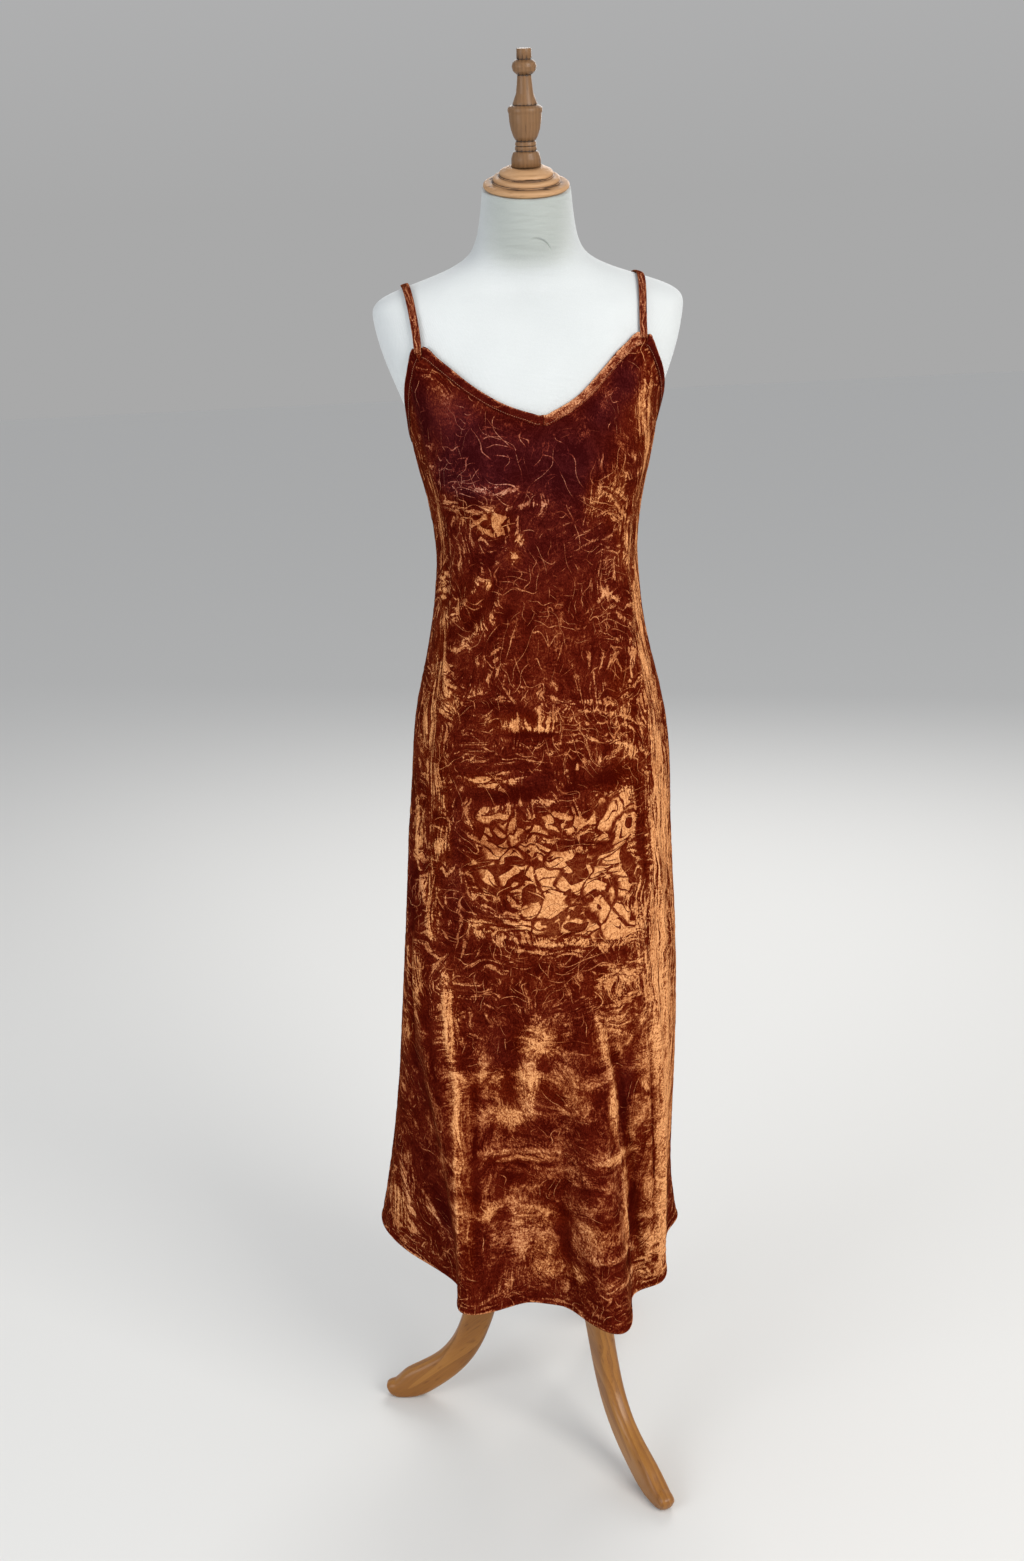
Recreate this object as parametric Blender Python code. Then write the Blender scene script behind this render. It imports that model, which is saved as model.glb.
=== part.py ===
"""A slip dress in crushed velvet, worn by a limbless dress form on a wooden tripod stand.

Metres, +Z up. The dress faces -Y, the wearer's left is +X, and the three feet stand on Z = 0.
Everything is modelled round the pole and hangs from one empty, which sets the pole's place so that
the origin lies under the middle of the whole object.

An angle round the body is measured at the pole, in degrees: 0 is the front, 90 the wearer's left,
180 the back and -90 the wearer's right.
"""

import math
from collections import namedtuple

import bmesh
import bpy
import numpy as np
from mathutils import Vector

# Driving dimensions
POLE_PLACE = (0.0309, 0.0185, 0.0)  # the pole's axis, from the origin
GAP = 0.0003  # what touching pieces keep between them
VELVET = 0.0016  # ground and pile together
HEM_ROLL = 0.0026  # the velvet where the hem is turned
BINDING = 0.0012
BINDING_WIDTH = 0.010
STRAP = 0.0024
STRAP_WIDTH = 0.0095
STRAP_SEAT = 0.0008  # clear of the shoulder, which is faceted
SIDE_SEAM = 94.0  # how far round from the front the side seams lie
FORM_COLUMNS = 36
BODY_ROWS, NECK_ROWS = 22, 12


class Table:
    """Rows of named columns, read between the rows along a curve that never overshoots them."""

    def __init__(self, names, *rows):
        columns = np.array(rows, dtype=float).T
        self.columns = dict(zip(names.split(), columns))
        self.places = columns[0]

    def at(self, name, place):
        values = self.columns[name]
        steps = np.diff(self.places)
        slopes = np.diff(values) / steps
        tangents = np.concatenate([slopes[:1], 0 * slopes[1:], slopes[-1:]])
        for i in range(1, len(slopes)):
            if slopes[i - 1] * slopes[i] > 0:
                tangents[i] = 2 * slopes[i - 1] * slopes[i] / (slopes[i - 1] + slopes[i])
        place = min(max(place, self.places[0]), self.places[-1])
        i = min(int(np.searchsorted(self.places, place, side="right")), len(steps)) - 1
        t = (place - self.places[i]) / steps[i]
        start = tangents[i] * steps[i]
        end = tangents[i + 1] * steps[i]
        rise = values[i + 1] - values[i]
        cubic = start + end - 2 * rise
        return float(values[i] + t * (start + t * (3 * rise - 2 * start - end + t * cubic)))


def smooth(t):
    t = min(max(t, 0.0), 1.0)
    return t * t * (3 - 2 * t)


def angle_between(angle, other):
    """From other round to angle, within -180 to 180."""
    return (angle - other + 180.0) % 360.0 - 180.0


def around(angle, radius, height):
    turn = math.radians(angle)
    return Vector((radius * math.sin(turn), -radius * math.cos(turn), height))


def angle_of(point):
    return math.degrees(math.atan2(point.x, -point.y))


def oval(angle, left, right, front, back, fullness):
    """How far the rim of an oval lies from the pole. Its left is the wearer's right, at -X."""
    across = math.sin(math.radians(angle))
    ahead = math.cos(math.radians(angle))
    side = right if across > 0 else left
    depth = front if ahead > 0 else back
    return (abs(across / side) ** fullness + abs(ahead / depth) ** fullness) ** (-1 / fullness)


def outward(surface, angle, height):
    """The unit normal of a surface that is given by angle and height."""
    turn, rise = 0.4, 0.002
    sideways = surface(angle + turn, height) - surface(angle - turn, height)
    upwards = surface(angle, height + rise) - surface(angle, height - rise)
    return sideways.cross(upwards).normalized()


# The makers of solids


def finish(name, build, material):
    mesh = bpy.data.meshes.new(name)
    build.normal_update()
    build.to_mesh(mesh)
    build.free()
    mesh.shade_smooth()
    mesh.set_sharp_from_angle(angle=math.radians(40))
    mesh.materials.append(material)
    result = bpy.data.objects.new(name, mesh)
    bpy.context.collection.objects.link(result)
    return result


def loft(name, rings, material):
    """A closed solid through rings of points, which run anticlockwise seen from beyond the last."""
    build = bmesh.new()
    rows = [[build.verts.new(point) for point in ring] for ring in rings]
    count = len(rows[0])
    for low, high in zip(rows, rows[1:]):
        for i in range(count):
            j = (i + 1) % count
            build.faces.new((low[i], low[j], high[j], high[i]))
    build.faces.new(rows[0][::-1])
    build.faces.new(rows[-1])
    return finish(name, build, material)


def turned(name, profile, steps, material, foot_slope=0.0):
    """A turned solid about Z, from (radius, height) pairs that go up. Its foot may fall to the front."""
    turns = [2 * math.pi * step / steps for step in range(steps)]
    rings = [[(r * math.cos(t), r * math.sin(t), z) for t in turns] for r, z in profile]
    rings[0] = [(x, y, z + y * foot_slope) for x, y, z in rings[0]]
    return loft(name, rings, material)


def wall(name, outside, inside, material):
    """A closed solid between two grids of points: rows go down, and columns right, seen from outside."""
    build = bmesh.new()
    out = [[build.verts.new(point) for point in row] for row in outside]
    back = [[build.verts.new(point) for point in row] for row in inside]
    last_row, last_column = len(out) - 1, len(out[0]) - 1
    for r in range(last_row):
        for c in range(last_column):
            build.faces.new((out[r][c], out[r + 1][c], out[r + 1][c + 1], out[r][c + 1]))
            build.faces.new((back[r][c], back[r][c + 1], back[r + 1][c + 1], back[r + 1][c]))
    rim = [(0, c) for c in range(last_column)]
    rim += [(r, last_column) for r in range(last_row)]
    rim += [(last_row, c) for c in range(last_column, 0, -1)]
    rim += [(r, 0) for r in range(last_row, 0, -1)]
    for (r, c), (s, d) in zip(rim, rim[1:] + rim[:1]):
        build.faces.new((out[r][c], out[s][d], back[s][d], back[r][c]))
    return finish(name, build, material)


def plain_material(name, colour, roughness, metallic=0.0):
    material = bpy.data.materials.new(name)
    material.use_nodes = True
    shader = material.node_tree.nodes["Principled BSDF"]
    shader.inputs["Base Color"].default_value = (*colour, 1.0)
    shader.inputs["Roughness"].default_value = roughness
    shader.inputs["Metallic"].default_value = metallic
    return material


# The form: foam under white jersey. Each row is a level section, measured from its middle line,
# and lean tips it down to the front, in degrees.
FORM = Table(
    "height half_width front back middle lean",
    (0.800, 0.1500, 0.098, 0.103, 0.000, 0.0),
    (0.812, 0.1560, 0.104, 0.109, 0.000, 0.0),
    (0.860, 0.1605, 0.108, 0.113, 0.000, 0.0),
    (0.930, 0.1595, 0.110, 0.116, 0.000, 0.0),
    (1.000, 0.1555, 0.108, 0.113, 0.000, 0.0),
    (1.050, 0.1475, 0.104, 0.105, 0.000, 0.0),
    (1.100, 0.1345, 0.098, 0.093, 0.000, 0.0),
    (1.160, 0.1235, 0.091, 0.080, 0.000, 0.0),
    (1.230, 0.1180, 0.088, 0.072, 0.000, 0.0),
    (1.290, 0.1245, 0.099, 0.077, 0.000, 0.0),
    (1.345, 0.1385, 0.110, 0.086, 0.000, 0.0),
    (1.400, 0.1495, 0.107, 0.092, 0.000, 0.0),
    (1.432, 0.1620, 0.102, 0.094, 0.000, 0.0),
    (1.465, 0.1755, 0.093, 0.092, 0.000, 0.0),
    (1.500, 0.1860, 0.080, 0.084, 0.000, 0.0),
    (1.528, 0.1915, 0.066, 0.073, 0.000, 0.0),
    (1.537, 0.1875, 0.060, 0.068, 0.000, 0.0),
    (1.545, 0.1725, 0.055, 0.064, 0.000, 0.0),
    (1.556, 0.1350, 0.052, 0.060, 0.000, 0.0),
    (1.566, 0.1040, 0.051, 0.057, 0.000, 0.0),
    (1.576, 0.0785, 0.052, 0.055, -0.001, 2.0),
    (1.588, 0.0665, 0.053, 0.053, -0.004, 5.0),
    (1.607, 0.0590, 0.054, 0.052, -0.009, 10.0),
    (1.630, 0.0550, 0.053, 0.051, -0.014, 13.5),
    (1.658, 0.0520, 0.052, 0.050, -0.019, 15.0),
)
FORM_FULLNESS = Table(
    "height fullness",
    (0.80, 2.25),
    (1.00, 2.15),
    (1.23, 2.10),
    (1.40, 2.35),
    (1.48, 2.60),
    (1.53, 2.40),
    (1.57, 2.05),
    (1.66, 2.00),
)
BUST_ANGLE, BUST_SPREAD = 39.0, 21.0
BUST_HEIGHT, BUST_OVER, BUST_UNDER = 1.352, 0.050, 0.040
BUST_RISE = 0.017


def bust(angle, height):
    """How far a cup stands out, on each side of the front."""
    spread = BUST_OVER if height > BUST_HEIGHT else BUST_UNDER
    up = ((height - BUST_HEIGHT) / spread) ** 2
    sides = [(angle_between(angle, side * BUST_ANGLE) / BUST_SPREAD) ** 2 for side in (-1, 1)]
    return BUST_RISE * sum(math.exp(-up - round_) for round_ in sides)


def form_radius(angle, height):
    half, front, back = (FORM.at(name, height) for name in ("half_width", "front", "back"))
    fullness = FORM_FULLNESS.at("fullness", height)
    return oval(angle, half, half, front, back, fullness) + bust(angle, height)


def form_point(angle, height):
    point = around(angle, form_radius(angle, height), height)
    point.z += point.y * math.tan(math.radians(FORM.at("lean", height)))
    point.y += FORM.at("middle", height)
    return point


def form_torso(material):
    """The rows lie closer where the shoulders turn in to the neck."""
    foot, shoulder, top = FORM.places[0], 1.52, FORM.places[-1]
    heights = list(np.linspace(foot, shoulder, BODY_ROWS, endpoint=False))
    heights += list(np.linspace(shoulder, top, NECK_ROWS))
    heights.insert(1, FORM.places[1])
    angles = [360.0 * step / FORM_COLUMNS for step in range(FORM_COLUMNS)]
    rings = [[form_point(angle, height) for angle in angles] for height in heights]
    return loft("form_torso", rings, material)


# The dress. Above the hips it is worn: ease is how far the velvet's outside stands off the form,
# and slack is what is added to it at the wearer's right side.
WORN = Table(
    "height ease slack",
    (0.90, 0.0040, 0.0060),
    (1.00, 0.0040, 0.0060),
    (1.10, 0.0045, 0.0050),
    (1.16, 0.0055, 0.0030),
    (1.23, 0.0065, 0.0000),
    (1.28, 0.0065, 0.0000),
    (1.32, 0.0050, 0.0000),
    (1.36, 0.0042, 0.0000),
    (1.50, 0.0036, 0.0000),
)
# Below the hips it hangs. These are level sections without the folds.
SKIRT = Table(
    "height left right front back fullness",
    (0.22, 0.192, 0.146, 0.150, 0.150, 2.10),
    (0.30, 0.192, 0.148, 0.147, 0.147, 2.10),
    (0.40, 0.193, 0.155, 0.142, 0.142, 2.10),
    (0.50, 0.193, 0.161, 0.137, 0.138, 2.10),
    (0.60, 0.193, 0.166, 0.132, 0.134, 2.10),
    (0.70, 0.190, 0.167, 0.127, 0.130, 2.15),
    (0.80, 0.184, 0.164, 0.122, 0.126, 2.15),
    (0.88, 0.178, 0.162, 0.118, 0.123, 2.15),
    (0.96, 0.171, 0.161, 0.115, 0.120, 2.15),
    (1.02, 0.165, 0.157, 0.112, 0.114, 2.15),
)
HIPS, HIPS_BLEND = 0.93, 0.05
# A fold stands out by its rise at the hem and thins out up to the height where it starts. Its
# crest turns from top_angle to hem_angle on the way down, and before and after are its half
# widths towards the wearer's right and left.
Fold = namedtuple("Fold", "name top_angle hem_angle rise before after starts growth")
FOLDS = (
    Fold("right flare", -100, -106, 0.062, 34, 46, 0.86, 2.2),
    Fold("right front", -78, -43, 0.054, 14, 22, 0.90, 1.3),
    Fold("left front", 12, 14, 0.074, 19, 19, 0.74, 1.5),
    Fold("left", 45, 47, 0.022, 12, 20, 0.90, 0.9),
    Fold("left back", 90, 93, 0.022, 16, 22, 0.52, 3.0),
    Fold("back left", 140, 142, 0.040, 17, 19, 0.78, 1.4),
    Fold("back middle", 178, 181, 0.048, 18, 18, 0.84, 1.2),
    Fold("back right", 214, 219, 0.038, 17, 17, 0.76, 1.5),
)
HEM = Table(
    "angle height",
    (-180, 0.268),
    (-140, 0.272),
    (-106, 0.291),
    (-92, 0.288),
    (-75, 0.276),
    (-48, 0.256),
    (-25, 0.254),
    (10, 0.240),
    (25, 0.238),
    (48, 0.250),
    (80, 0.270),
    (103, 0.278),
    (140, 0.270),
    (180, 0.268),
)
# The top edge, in runs between the four short level tops where the straps are sewn on. A strip is
# turned along each run. Where a run starts and ends, its strip's lower corner drops this far below
# the edge's end and lies this far aside of it, towards larger angles.
Run = namedtuple("Run", "name start end edge")
Corner = namedtuple("Corner", "drop aside")
RUNS = (
    Run(
        "neck_binding_right",
        Corner(0.0135, -0.0005),
        Corner(0.0107, 0.0),
        Table(
            "angle height",
            (-61.5, 1.4865),
            (-52.0, 1.4665),
            (-38.0, 1.4405),
            (-20.0, 1.4185),
            (0.5, 1.4045),
        ),
    ),
    Run(
        "neck_binding_left",
        Corner(0.0107, 0.0),
        Corner(0.0135, 0.0005),
        Table(
            "angle height",
            (0.5, 1.4045),
            (20.0, 1.4235),
            (36.0, 1.4505),
            (48.0, 1.4745),
            (58.5, 1.4925),
        ),
    ),
    Run(
        "armhole_binding_left",
        Corner(0.0135, -0.0073),
        Corner(0.0082, 0.0050),
        Table(
            "angle height",
            (62.0, 1.4895),
            (65.5, 1.4640),
            (70.0, 1.4400),
            (77.0, 1.4150),
            (86.0, 1.3910),
            (94.0, 1.3790),
            (105.0, 1.3750),
            (118.0, 1.3840),
            (129.0, 1.4020),
        ),
    ),
    Run(
        "back_binding",
        Corner(0.0082, -0.0050),
        Corner(0.0082, 0.0050),
        Table(
            "angle height",
            (134.5, 1.4020),
            (146.0, 1.3860),
            (163.0, 1.3750),
            (180.0, 1.3720),
            (197.0, 1.3750),
            (214.0, 1.3860),
            (225.5, 1.4020),
        ),
    ),
    Run(
        "armhole_binding_right",
        Corner(0.0082, -0.0050),
        Corner(0.0135, 0.0073),
        Table(
            "angle height",
            (231.0, 1.4020),
            (242.0, 1.3840),
            (255.0, 1.3750),
            (266.0, 1.3790),
            (274.0, 1.3910),
            (282.0, 1.4130),
            (288.0, 1.4360),
            (292.0, 1.4590),
            (295.0, 1.4845),
        ),
    ),
)
CORNER_FADE = 0.020  # how soon a strip is back to its own width
# The columns of both panels, all round from the wearer's right seam: from each stop, so many even
# steps to the next.
Stop = namedtuple("Stop", "angle steps")
STOPS = (
    Stop(-SIDE_SEAM, 8),
    Stop(-65.0, 1),
    Stop(-61.5, 10),
    Stop(0.5, 10),
    Stop(58.5, 1),
    Stop(62.0, 8),
    Stop(SIDE_SEAM, 8),
    Stop(129.0, 1),
    Stop(134.5, 16),
    Stop(225.5, 1),
    Stop(231.0, 8),
    Stop(360 - SIDE_SEAM, 0),
)
BELOW_STRIP_ROWS = 28
ROW_SPREAD = 1.4  # the rows lie closer over the bust than down the skirt
EVEN_BY = 0.5  # the share of the way down by which the columns are evenly spaced


def columns_between(first, last):
    once = [STOPS[0].angle]
    for here, beyond in zip(STOPS, STOPS[1:]):
        step = (beyond.angle - here.angle) / here.steps
        once += [here.angle + step * (i + 1) for i in range(here.steps)]
    twice = once + [angle + 360 for angle in once[1:]]
    return [angle for angle in twice if first - 1e-6 < angle < last + 1e-6]


def folds(angle, height):
    total = 0.0
    for fold in FOLDS:
        drop = fold.starts - HEM.at("height", angle_between(fold.hem_angle, 0))
        down = (fold.starts - height) / drop
        if down <= 0:
            continue
        crest = fold.top_angle + (fold.hem_angle - fold.top_angle) * smooth(down)
        away = angle_between(angle, crest)
        share = away / (fold.after if away > 0 else fold.before)
        if abs(share) < 1:
            total += fold.rise * down**fold.growth * math.cos(share * math.pi / 2) ** 2
    return total


def dress_point(angle, height):
    """A point on the outside of the velvet."""
    worn_share = smooth((height - HIPS + HIPS_BLEND) / (2 * HIPS_BLEND))
    right_share = max(0.0, -math.sin(math.radians(angle))) ** 2
    worn = form_radius(angle, height) + WORN.at("ease", height)
    worn += WORN.at("slack", height) * right_share
    ends = [SKIRT.at(name, height) for name in ("left", "right", "front", "back", "fullness")]
    hung = oval(angle, *ends) + folds(angle, height)
    return around(angle, hung + (worn - hung) * worn_share, height)


def strip_seats(run):
    """For each column of a run: the angle and height of the edge, the strip's middle and its foot."""
    angles = columns_between(run.edge.places[0], run.edge.places[-1])
    edge = [dress_point(angle, run.edge.at("height", angle)) for angle in angles]
    gone = np.cumsum([0.0] + [(b - a).length for a, b in zip(edge, edge[1:])])

    def foot(i):
        along = (edge[min(i + 1, len(edge) - 1)] - edge[max(i - 1, 0)]).normalized()
        return edge[i] + along.cross(outward(dress_point, angles[i], edge[i].z)) * BINDING_WIDTH

    def shift_to(corner, i):
        turn = math.radians(angles[i])
        aside = Vector((math.cos(turn), math.sin(turn), 0)) * corner.aside
        return edge[i] + aside - Vector((0, 0, corner.drop)) - foot(i)

    start, end = shift_to(run.start, 0), shift_to(run.end, len(edge) - 1)
    seats = []
    for i, angle in enumerate(angles):
        point = foot(i) + start * max(0.0, 1 - gone[i] / CORNER_FADE)
        point += end * max(0.0, 1 - (gone[-1] - gone[i]) / CORNER_FADE)
        foot_angle = angle + angle_between(angle_of(point), angle)
        middle = ((angle + foot_angle) / 2, (edge[i].z + point.z) / 2)
        seats.append([(angle, edge[i].z), middle, (foot_angle, point.z)])
    return seats


def binding(run, material):
    """A strip that lies on the velvet: its points are the panel's, moved out."""
    seats = strip_seats(run)
    outside, inside = [[], [], []], [[], [], []]
    for seat in seats:
        end = (seat is seats[0]) - (seat is seats[-1])
        for row, (angle, height) in enumerate(seat):
            angle += end * math.degrees(GAP / 2 / dress_point(angle, height).xy.length)
            away = outward(dress_point, angle, height)
            outside[row].append(dress_point(angle, height) + away * (GAP + BINDING))
            inside[row].append(dress_point(angle, height) + away * GAP)
    return wall(run.name, outside, inside, material)


def panel(name, first, last, material):
    """A front or back. Its top rows are its strips' seats, and below them the columns even out."""
    seats = {}
    for run in RUNS:
        for seat in strip_seats(run):
            seats[round(seat[0][0] % 360, 3)] = seat
    angles = columns_between(first, last)
    outside, inside = [], []
    for row in range(BELOW_STRIP_ROWS + 3):
        outside.append([])
        inside.append([])
        down = (max(row - 2, 0) / BELOW_STRIP_ROWS) ** ROW_SPREAD
        for i, column in enumerate(angles):
            seat = seats[round(column % 360, 3)]
            if row < 3:
                angle, height = seat[row]
            else:
                foot_angle, foot_height = seat[2]
                hem_angle = first + (last - first) * i / (len(angles) - 1)
                hem = HEM.at("height", angle_between(hem_angle, 0))
                turn = angle_between(hem_angle, foot_angle) * smooth(down / EVEN_BY)
                angle, height = foot_angle + turn, foot_height + (hem - foot_height) * down
            half_gap = math.degrees(GAP / 2 / dress_point(angle, height).xy.length)
            angle += half_gap * ((i == 0) - (i == len(angles) - 1))
            point = dress_point(angle, height)
            thickness = HEM_ROLL if down == 1 else VELVET
            outside[-1].append(point)
            inside[-1].append(point - outward(dress_point, angle, height) * thickness)
    return wall(name, outside, inside, material)


# The straps lie on the shoulders, from the top of the front to the top of the back.
StrapRun = namedtuple("StrapRun", "name front shoulder back")
STRAP_RUNS = (
    StrapRun("strap_right", (-65.0, -61.5), -0.1465, (225.5, 231.0)),
    StrapRun("strap_left", (58.5, 62.0), 0.1325, (129.0, 134.5)),
)
STRAP_STEPS = 24
PIVOT_HEIGHT = 1.45


def over_shoulder(x, turn):
    """Where a ray leaves the form: it starts inside the shoulder at x and turns from the front, up."""
    ahead, up = math.cos(math.radians(turn)), math.sin(math.radians(turn))
    near, far = 0.0, 0.2
    for _ in range(40):
        middle = (near + far) / 2
        point = Vector((x, -ahead * middle, PIVOT_HEIGHT + up * middle))
        if point.xy.length < form_radius(angle_of(point), point.z):
            near = middle
        else:
            far = middle
    return point


def turn_at(x, height, low, high):
    """The turn, between low and high, at which the ray comes out at a height."""
    for _ in range(40):
        middle = (low + high) / 2
        if over_shoulder(x, middle).z < height:
            low = middle
        else:
            high = middle
    return low


def level_top(first, last):
    """The middle of the top edge between two runs, at the height of its higher end."""
    ends = [(run.edge, angle) for run in RUNS for angle in (first, last)]
    heights = [edge.at("height", angle) for edge, angle in ends if angle in edge.places]
    return dress_point((first + last) / 2, max(heights))


def strap(plan, material):
    front, back = (level_top(*ends) for ends in (plan.front, plan.back))
    first = turn_at(front.x, front.z + GAP, -30, 90)
    last = turn_at(back.x, back.z + GAP, 210, 90)

    def spot(share):
        turn = first + (last - first) * share
        crown = (90 - first) / (last - first)
        if share < crown:
            x = front.x + (plan.shoulder - front.x) * smooth(share / crown)
        else:
            x = plan.shoulder + (back.x - plan.shoulder) * smooth((share - crown) / (1 - crown))
        return over_shoulder(x, turn), over_shoulder(x + 0.002, turn)

    rings = []
    for step in range(STRAP_STEPS + 1):
        share = step / STRAP_STEPS
        here, beside = spot(share)
        before, after = spot(max(share - 0.01, 0))[0], spot(min(share + 0.01, 1))[0]
        along = (after - before).normalized()
        away = (beside - here).cross(along).normalized()
        side = along.cross(away) * STRAP_WIDTH / 2
        low, high = here + away * STRAP_SEAT, here + away * (STRAP_SEAT + STRAP)
        rings.append([low + side, low - side, high - side, high + side])
    return loft(plan.name, rings, material)


# The neck's cap and the finial, turned in pale wood. The cap lies on the neck's sloping top. The
# finial stands more upright, and its foot is cut to that slope.
CAP_PROFILE = (
    (0.0480, 0.0000),
    (0.0502, 0.0020),
    (0.0502, 0.0050),
    (0.0485, 0.0066),
    (0.0402, 0.0078),
    (0.0392, 0.0090),
    (0.0388, 0.0120),
    (0.0375, 0.0135),
    (0.0322, 0.0143),
    (0.0314, 0.0155),
    (0.0310, 0.0185),
    (0.0295, 0.0202),
    (0.0200, 0.0243),
)
FINIAL_LEAN = 7.0
FINIAL_PROFILE = (
    (0.0172, 0.0000),
    (0.0170, 0.0090),
    (0.0149, 0.0155),
    (0.0125, 0.0172),
    (0.0125, 0.0216),
    (0.0118, 0.0226),
    (0.0123, 0.0236),
    (0.0120, 0.0260),
    (0.0112, 0.0280),
    (0.0142, 0.0330),
    (0.0167, 0.0404),
    (0.0184, 0.0490),
    (0.0190, 0.0580),
    (0.0201, 0.0608),
    (0.0199, 0.0640),
    (0.0178, 0.0656),
    (0.0146, 0.0672),
    (0.0132, 0.0710),
    (0.0101, 0.0790),
    (0.0090, 0.0877),
    (0.0082, 0.0965),
    (0.0084, 0.0990),
    (0.0128, 0.1032),
    (0.0142, 0.1079),
    (0.0130, 0.1123),
    (0.0086, 0.1158),
    (0.0084, 0.1272),
)
FINIAL_STEPS, CAP_STEPS = 20, 36

# The stand: a pole, a hub and three bent legs. A leg's rows follow its middle line outwards.
POLE_RADIUS = 0.014
HUB_RADIUS = 0.034
HUB_BOTTOM, HUB_TOP, HUB_EDGE = 0.255, 0.325, 0.004
LEG = Table(
    "along reach height depth width",
    (0.0, 0.0343, 0.2900, 0.054, 0.030),
    (0.1, 0.0600, 0.2780, 0.052, 0.030),
    (0.2, 0.0860, 0.2420, 0.048, 0.030),
    (0.3, 0.1040, 0.1950, 0.045, 0.029),
    (0.4, 0.1180, 0.1450, 0.043, 0.028),
    (0.5, 0.1360, 0.0965, 0.041, 0.028),
    (0.6, 0.1630, 0.0605, 0.041, 0.027),
    (0.7, 0.1910, 0.0400, 0.044, 0.027),
    (0.8, 0.2180, 0.0250, 0.048, 0.027),
    (0.9, 0.2380, 0.0165, 0.034, 0.027),
    (1.0, 0.2520, 0.0125, 0.023, 0.022),
)
LEG_STEPS, LEG_SIDES, LEG_SQUARENESS = 18, 14, 5.0
SOLE = 0.0035  # how far below the floor the legs' round undersides would reach, and are cut off flat
# Each leg's turn from the front, and how much further than the rows its foot reaches.
LEG_PLANS = (("leg_front", 21.0, 0.030), ("leg_right", -99.5, 0.0), ("leg_back", 153.0, 0.0))


def leg(name, further, material):
    """A leg that reaches out along -Y from the pole's axis."""

    def middle(along):
        return Vector((0, -LEG.at("reach", along) - further * along**3, LEG.at("height", along)))

    rings = []
    for step in range(LEG_STEPS + 1):
        along = step / LEG_STEPS
        ahead = (middle(min(along + 0.02, 1)) - middle(max(along - 0.02, 0))).normalized()
        if step == 0:
            ahead = Vector((0, -1, 0))
        up = Vector((1, 0, 0)).cross(ahead)
        ring = []
        for side in range(LEG_SIDES):
            turn = 2 * math.pi * (side + 0.5) / LEG_SIDES
            c, s = math.cos(turn), math.sin(turn)
            reach = (abs(c) ** LEG_SQUARENESS + abs(s) ** LEG_SQUARENESS) ** (-1 / LEG_SQUARENESS)
            point = middle(along) + Vector((1, 0, 0)) * c * reach * LEG.at("width", along) / 2
            point += up * s * reach * LEG.at("depth", along) / 2
            point.z = max(point.z - SOLE, 0.0)
            ring.append(point)
        rings.append(ring[::-1])
    return loft(name, rings, material)


def build_all():
    for item in list(bpy.data.objects):
        bpy.data.objects.remove(item)
    velvet = plain_material("crushed_velvet", (0.27, 0.07, 0.02), 0.75)
    jersey = plain_material("white_jersey", (0.82, 0.85, 0.84), 0.85)
    pale_wood = plain_material("turned_pale_wood", (0.52, 0.29, 0.15), 0.45)
    golden_wood = plain_material("varnished_wood", (0.48, 0.24, 0.06), 0.35)
    pole_place = bpy.data.objects.new("pole_place", None)
    neck_top = bpy.data.objects.new("neck_top", None)
    for empty in (pole_place, neck_top):
        bpy.context.collection.objects.link(empty)

    pieces = [
        panel("dress_front", -SIDE_SEAM, SIDE_SEAM, velvet),
        panel("dress_back", SIDE_SEAM, 360 - SIDE_SEAM, velvet),
        form_torso(jersey),
        neck_top,
    ]
    pieces += [binding(run, velvet) for run in RUNS]
    pieces += [strap(plan, velvet) for plan in STRAP_RUNS]

    top = FORM.places[-1]
    lean, upright = math.radians(FORM.at("lean", top)), math.radians(FINIAL_LEAN)
    neck_top.location = (0, FORM.at("middle", top), top)
    neck_top.rotation_euler.x = lean
    cap = turned("neck_cap", CAP_PROFILE, CAP_STEPS, pale_wood)
    foot_slope = math.tan(lean - upright)
    finial = turned("finial", FINIAL_PROFILE, FINIAL_STEPS, pale_wood, foot_slope)
    cap.location.z = GAP
    finial.location.z = GAP + CAP_PROFILE[-1][1] + GAP
    finial.rotation_euler.x = upright - lean
    cap.parent = finial.parent = neck_top

    hub_profile = (
        (HUB_RADIUS - HUB_EDGE, HUB_BOTTOM),
        (HUB_RADIUS, HUB_BOTTOM + HUB_EDGE),
        (HUB_RADIUS, HUB_TOP - HUB_EDGE),
        (HUB_RADIUS - HUB_EDGE, HUB_TOP),
    )
    pieces.append(turned("leg_hub", hub_profile, CAP_STEPS, golden_wood))
    pole_profile = ((POLE_RADIUS, HUB_TOP + GAP), (POLE_RADIUS, FORM.places[0] - GAP))
    pieces.append(turned("pole", pole_profile, FINIAL_STEPS, golden_wood))
    for name, turn, further in LEG_PLANS:
        piece = leg(name, further, golden_wood)
        piece.rotation_euler.z = math.radians(turn)
        pieces.append(piece)

    for piece in pieces:
        piece.parent = pole_place
    pole_place.location = POLE_PLACE


build_all()
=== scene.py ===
"""A crushed velvet slip dress, worn by a limbless dress form on a wooden tripod stand.

Metres, +Z up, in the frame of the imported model. The dress faces -Y and the wearer's left is +X.
An angle round the body is measured at the pole, in degrees: 0 is the front, 90 the wearer's left,
180 the back and -90 the wearer's right.
"""

import math

import bmesh
import bpy
import numpy as np
from mathutils import Matrix, Vector
from mathutils.bvhtree import BVHTree


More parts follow.
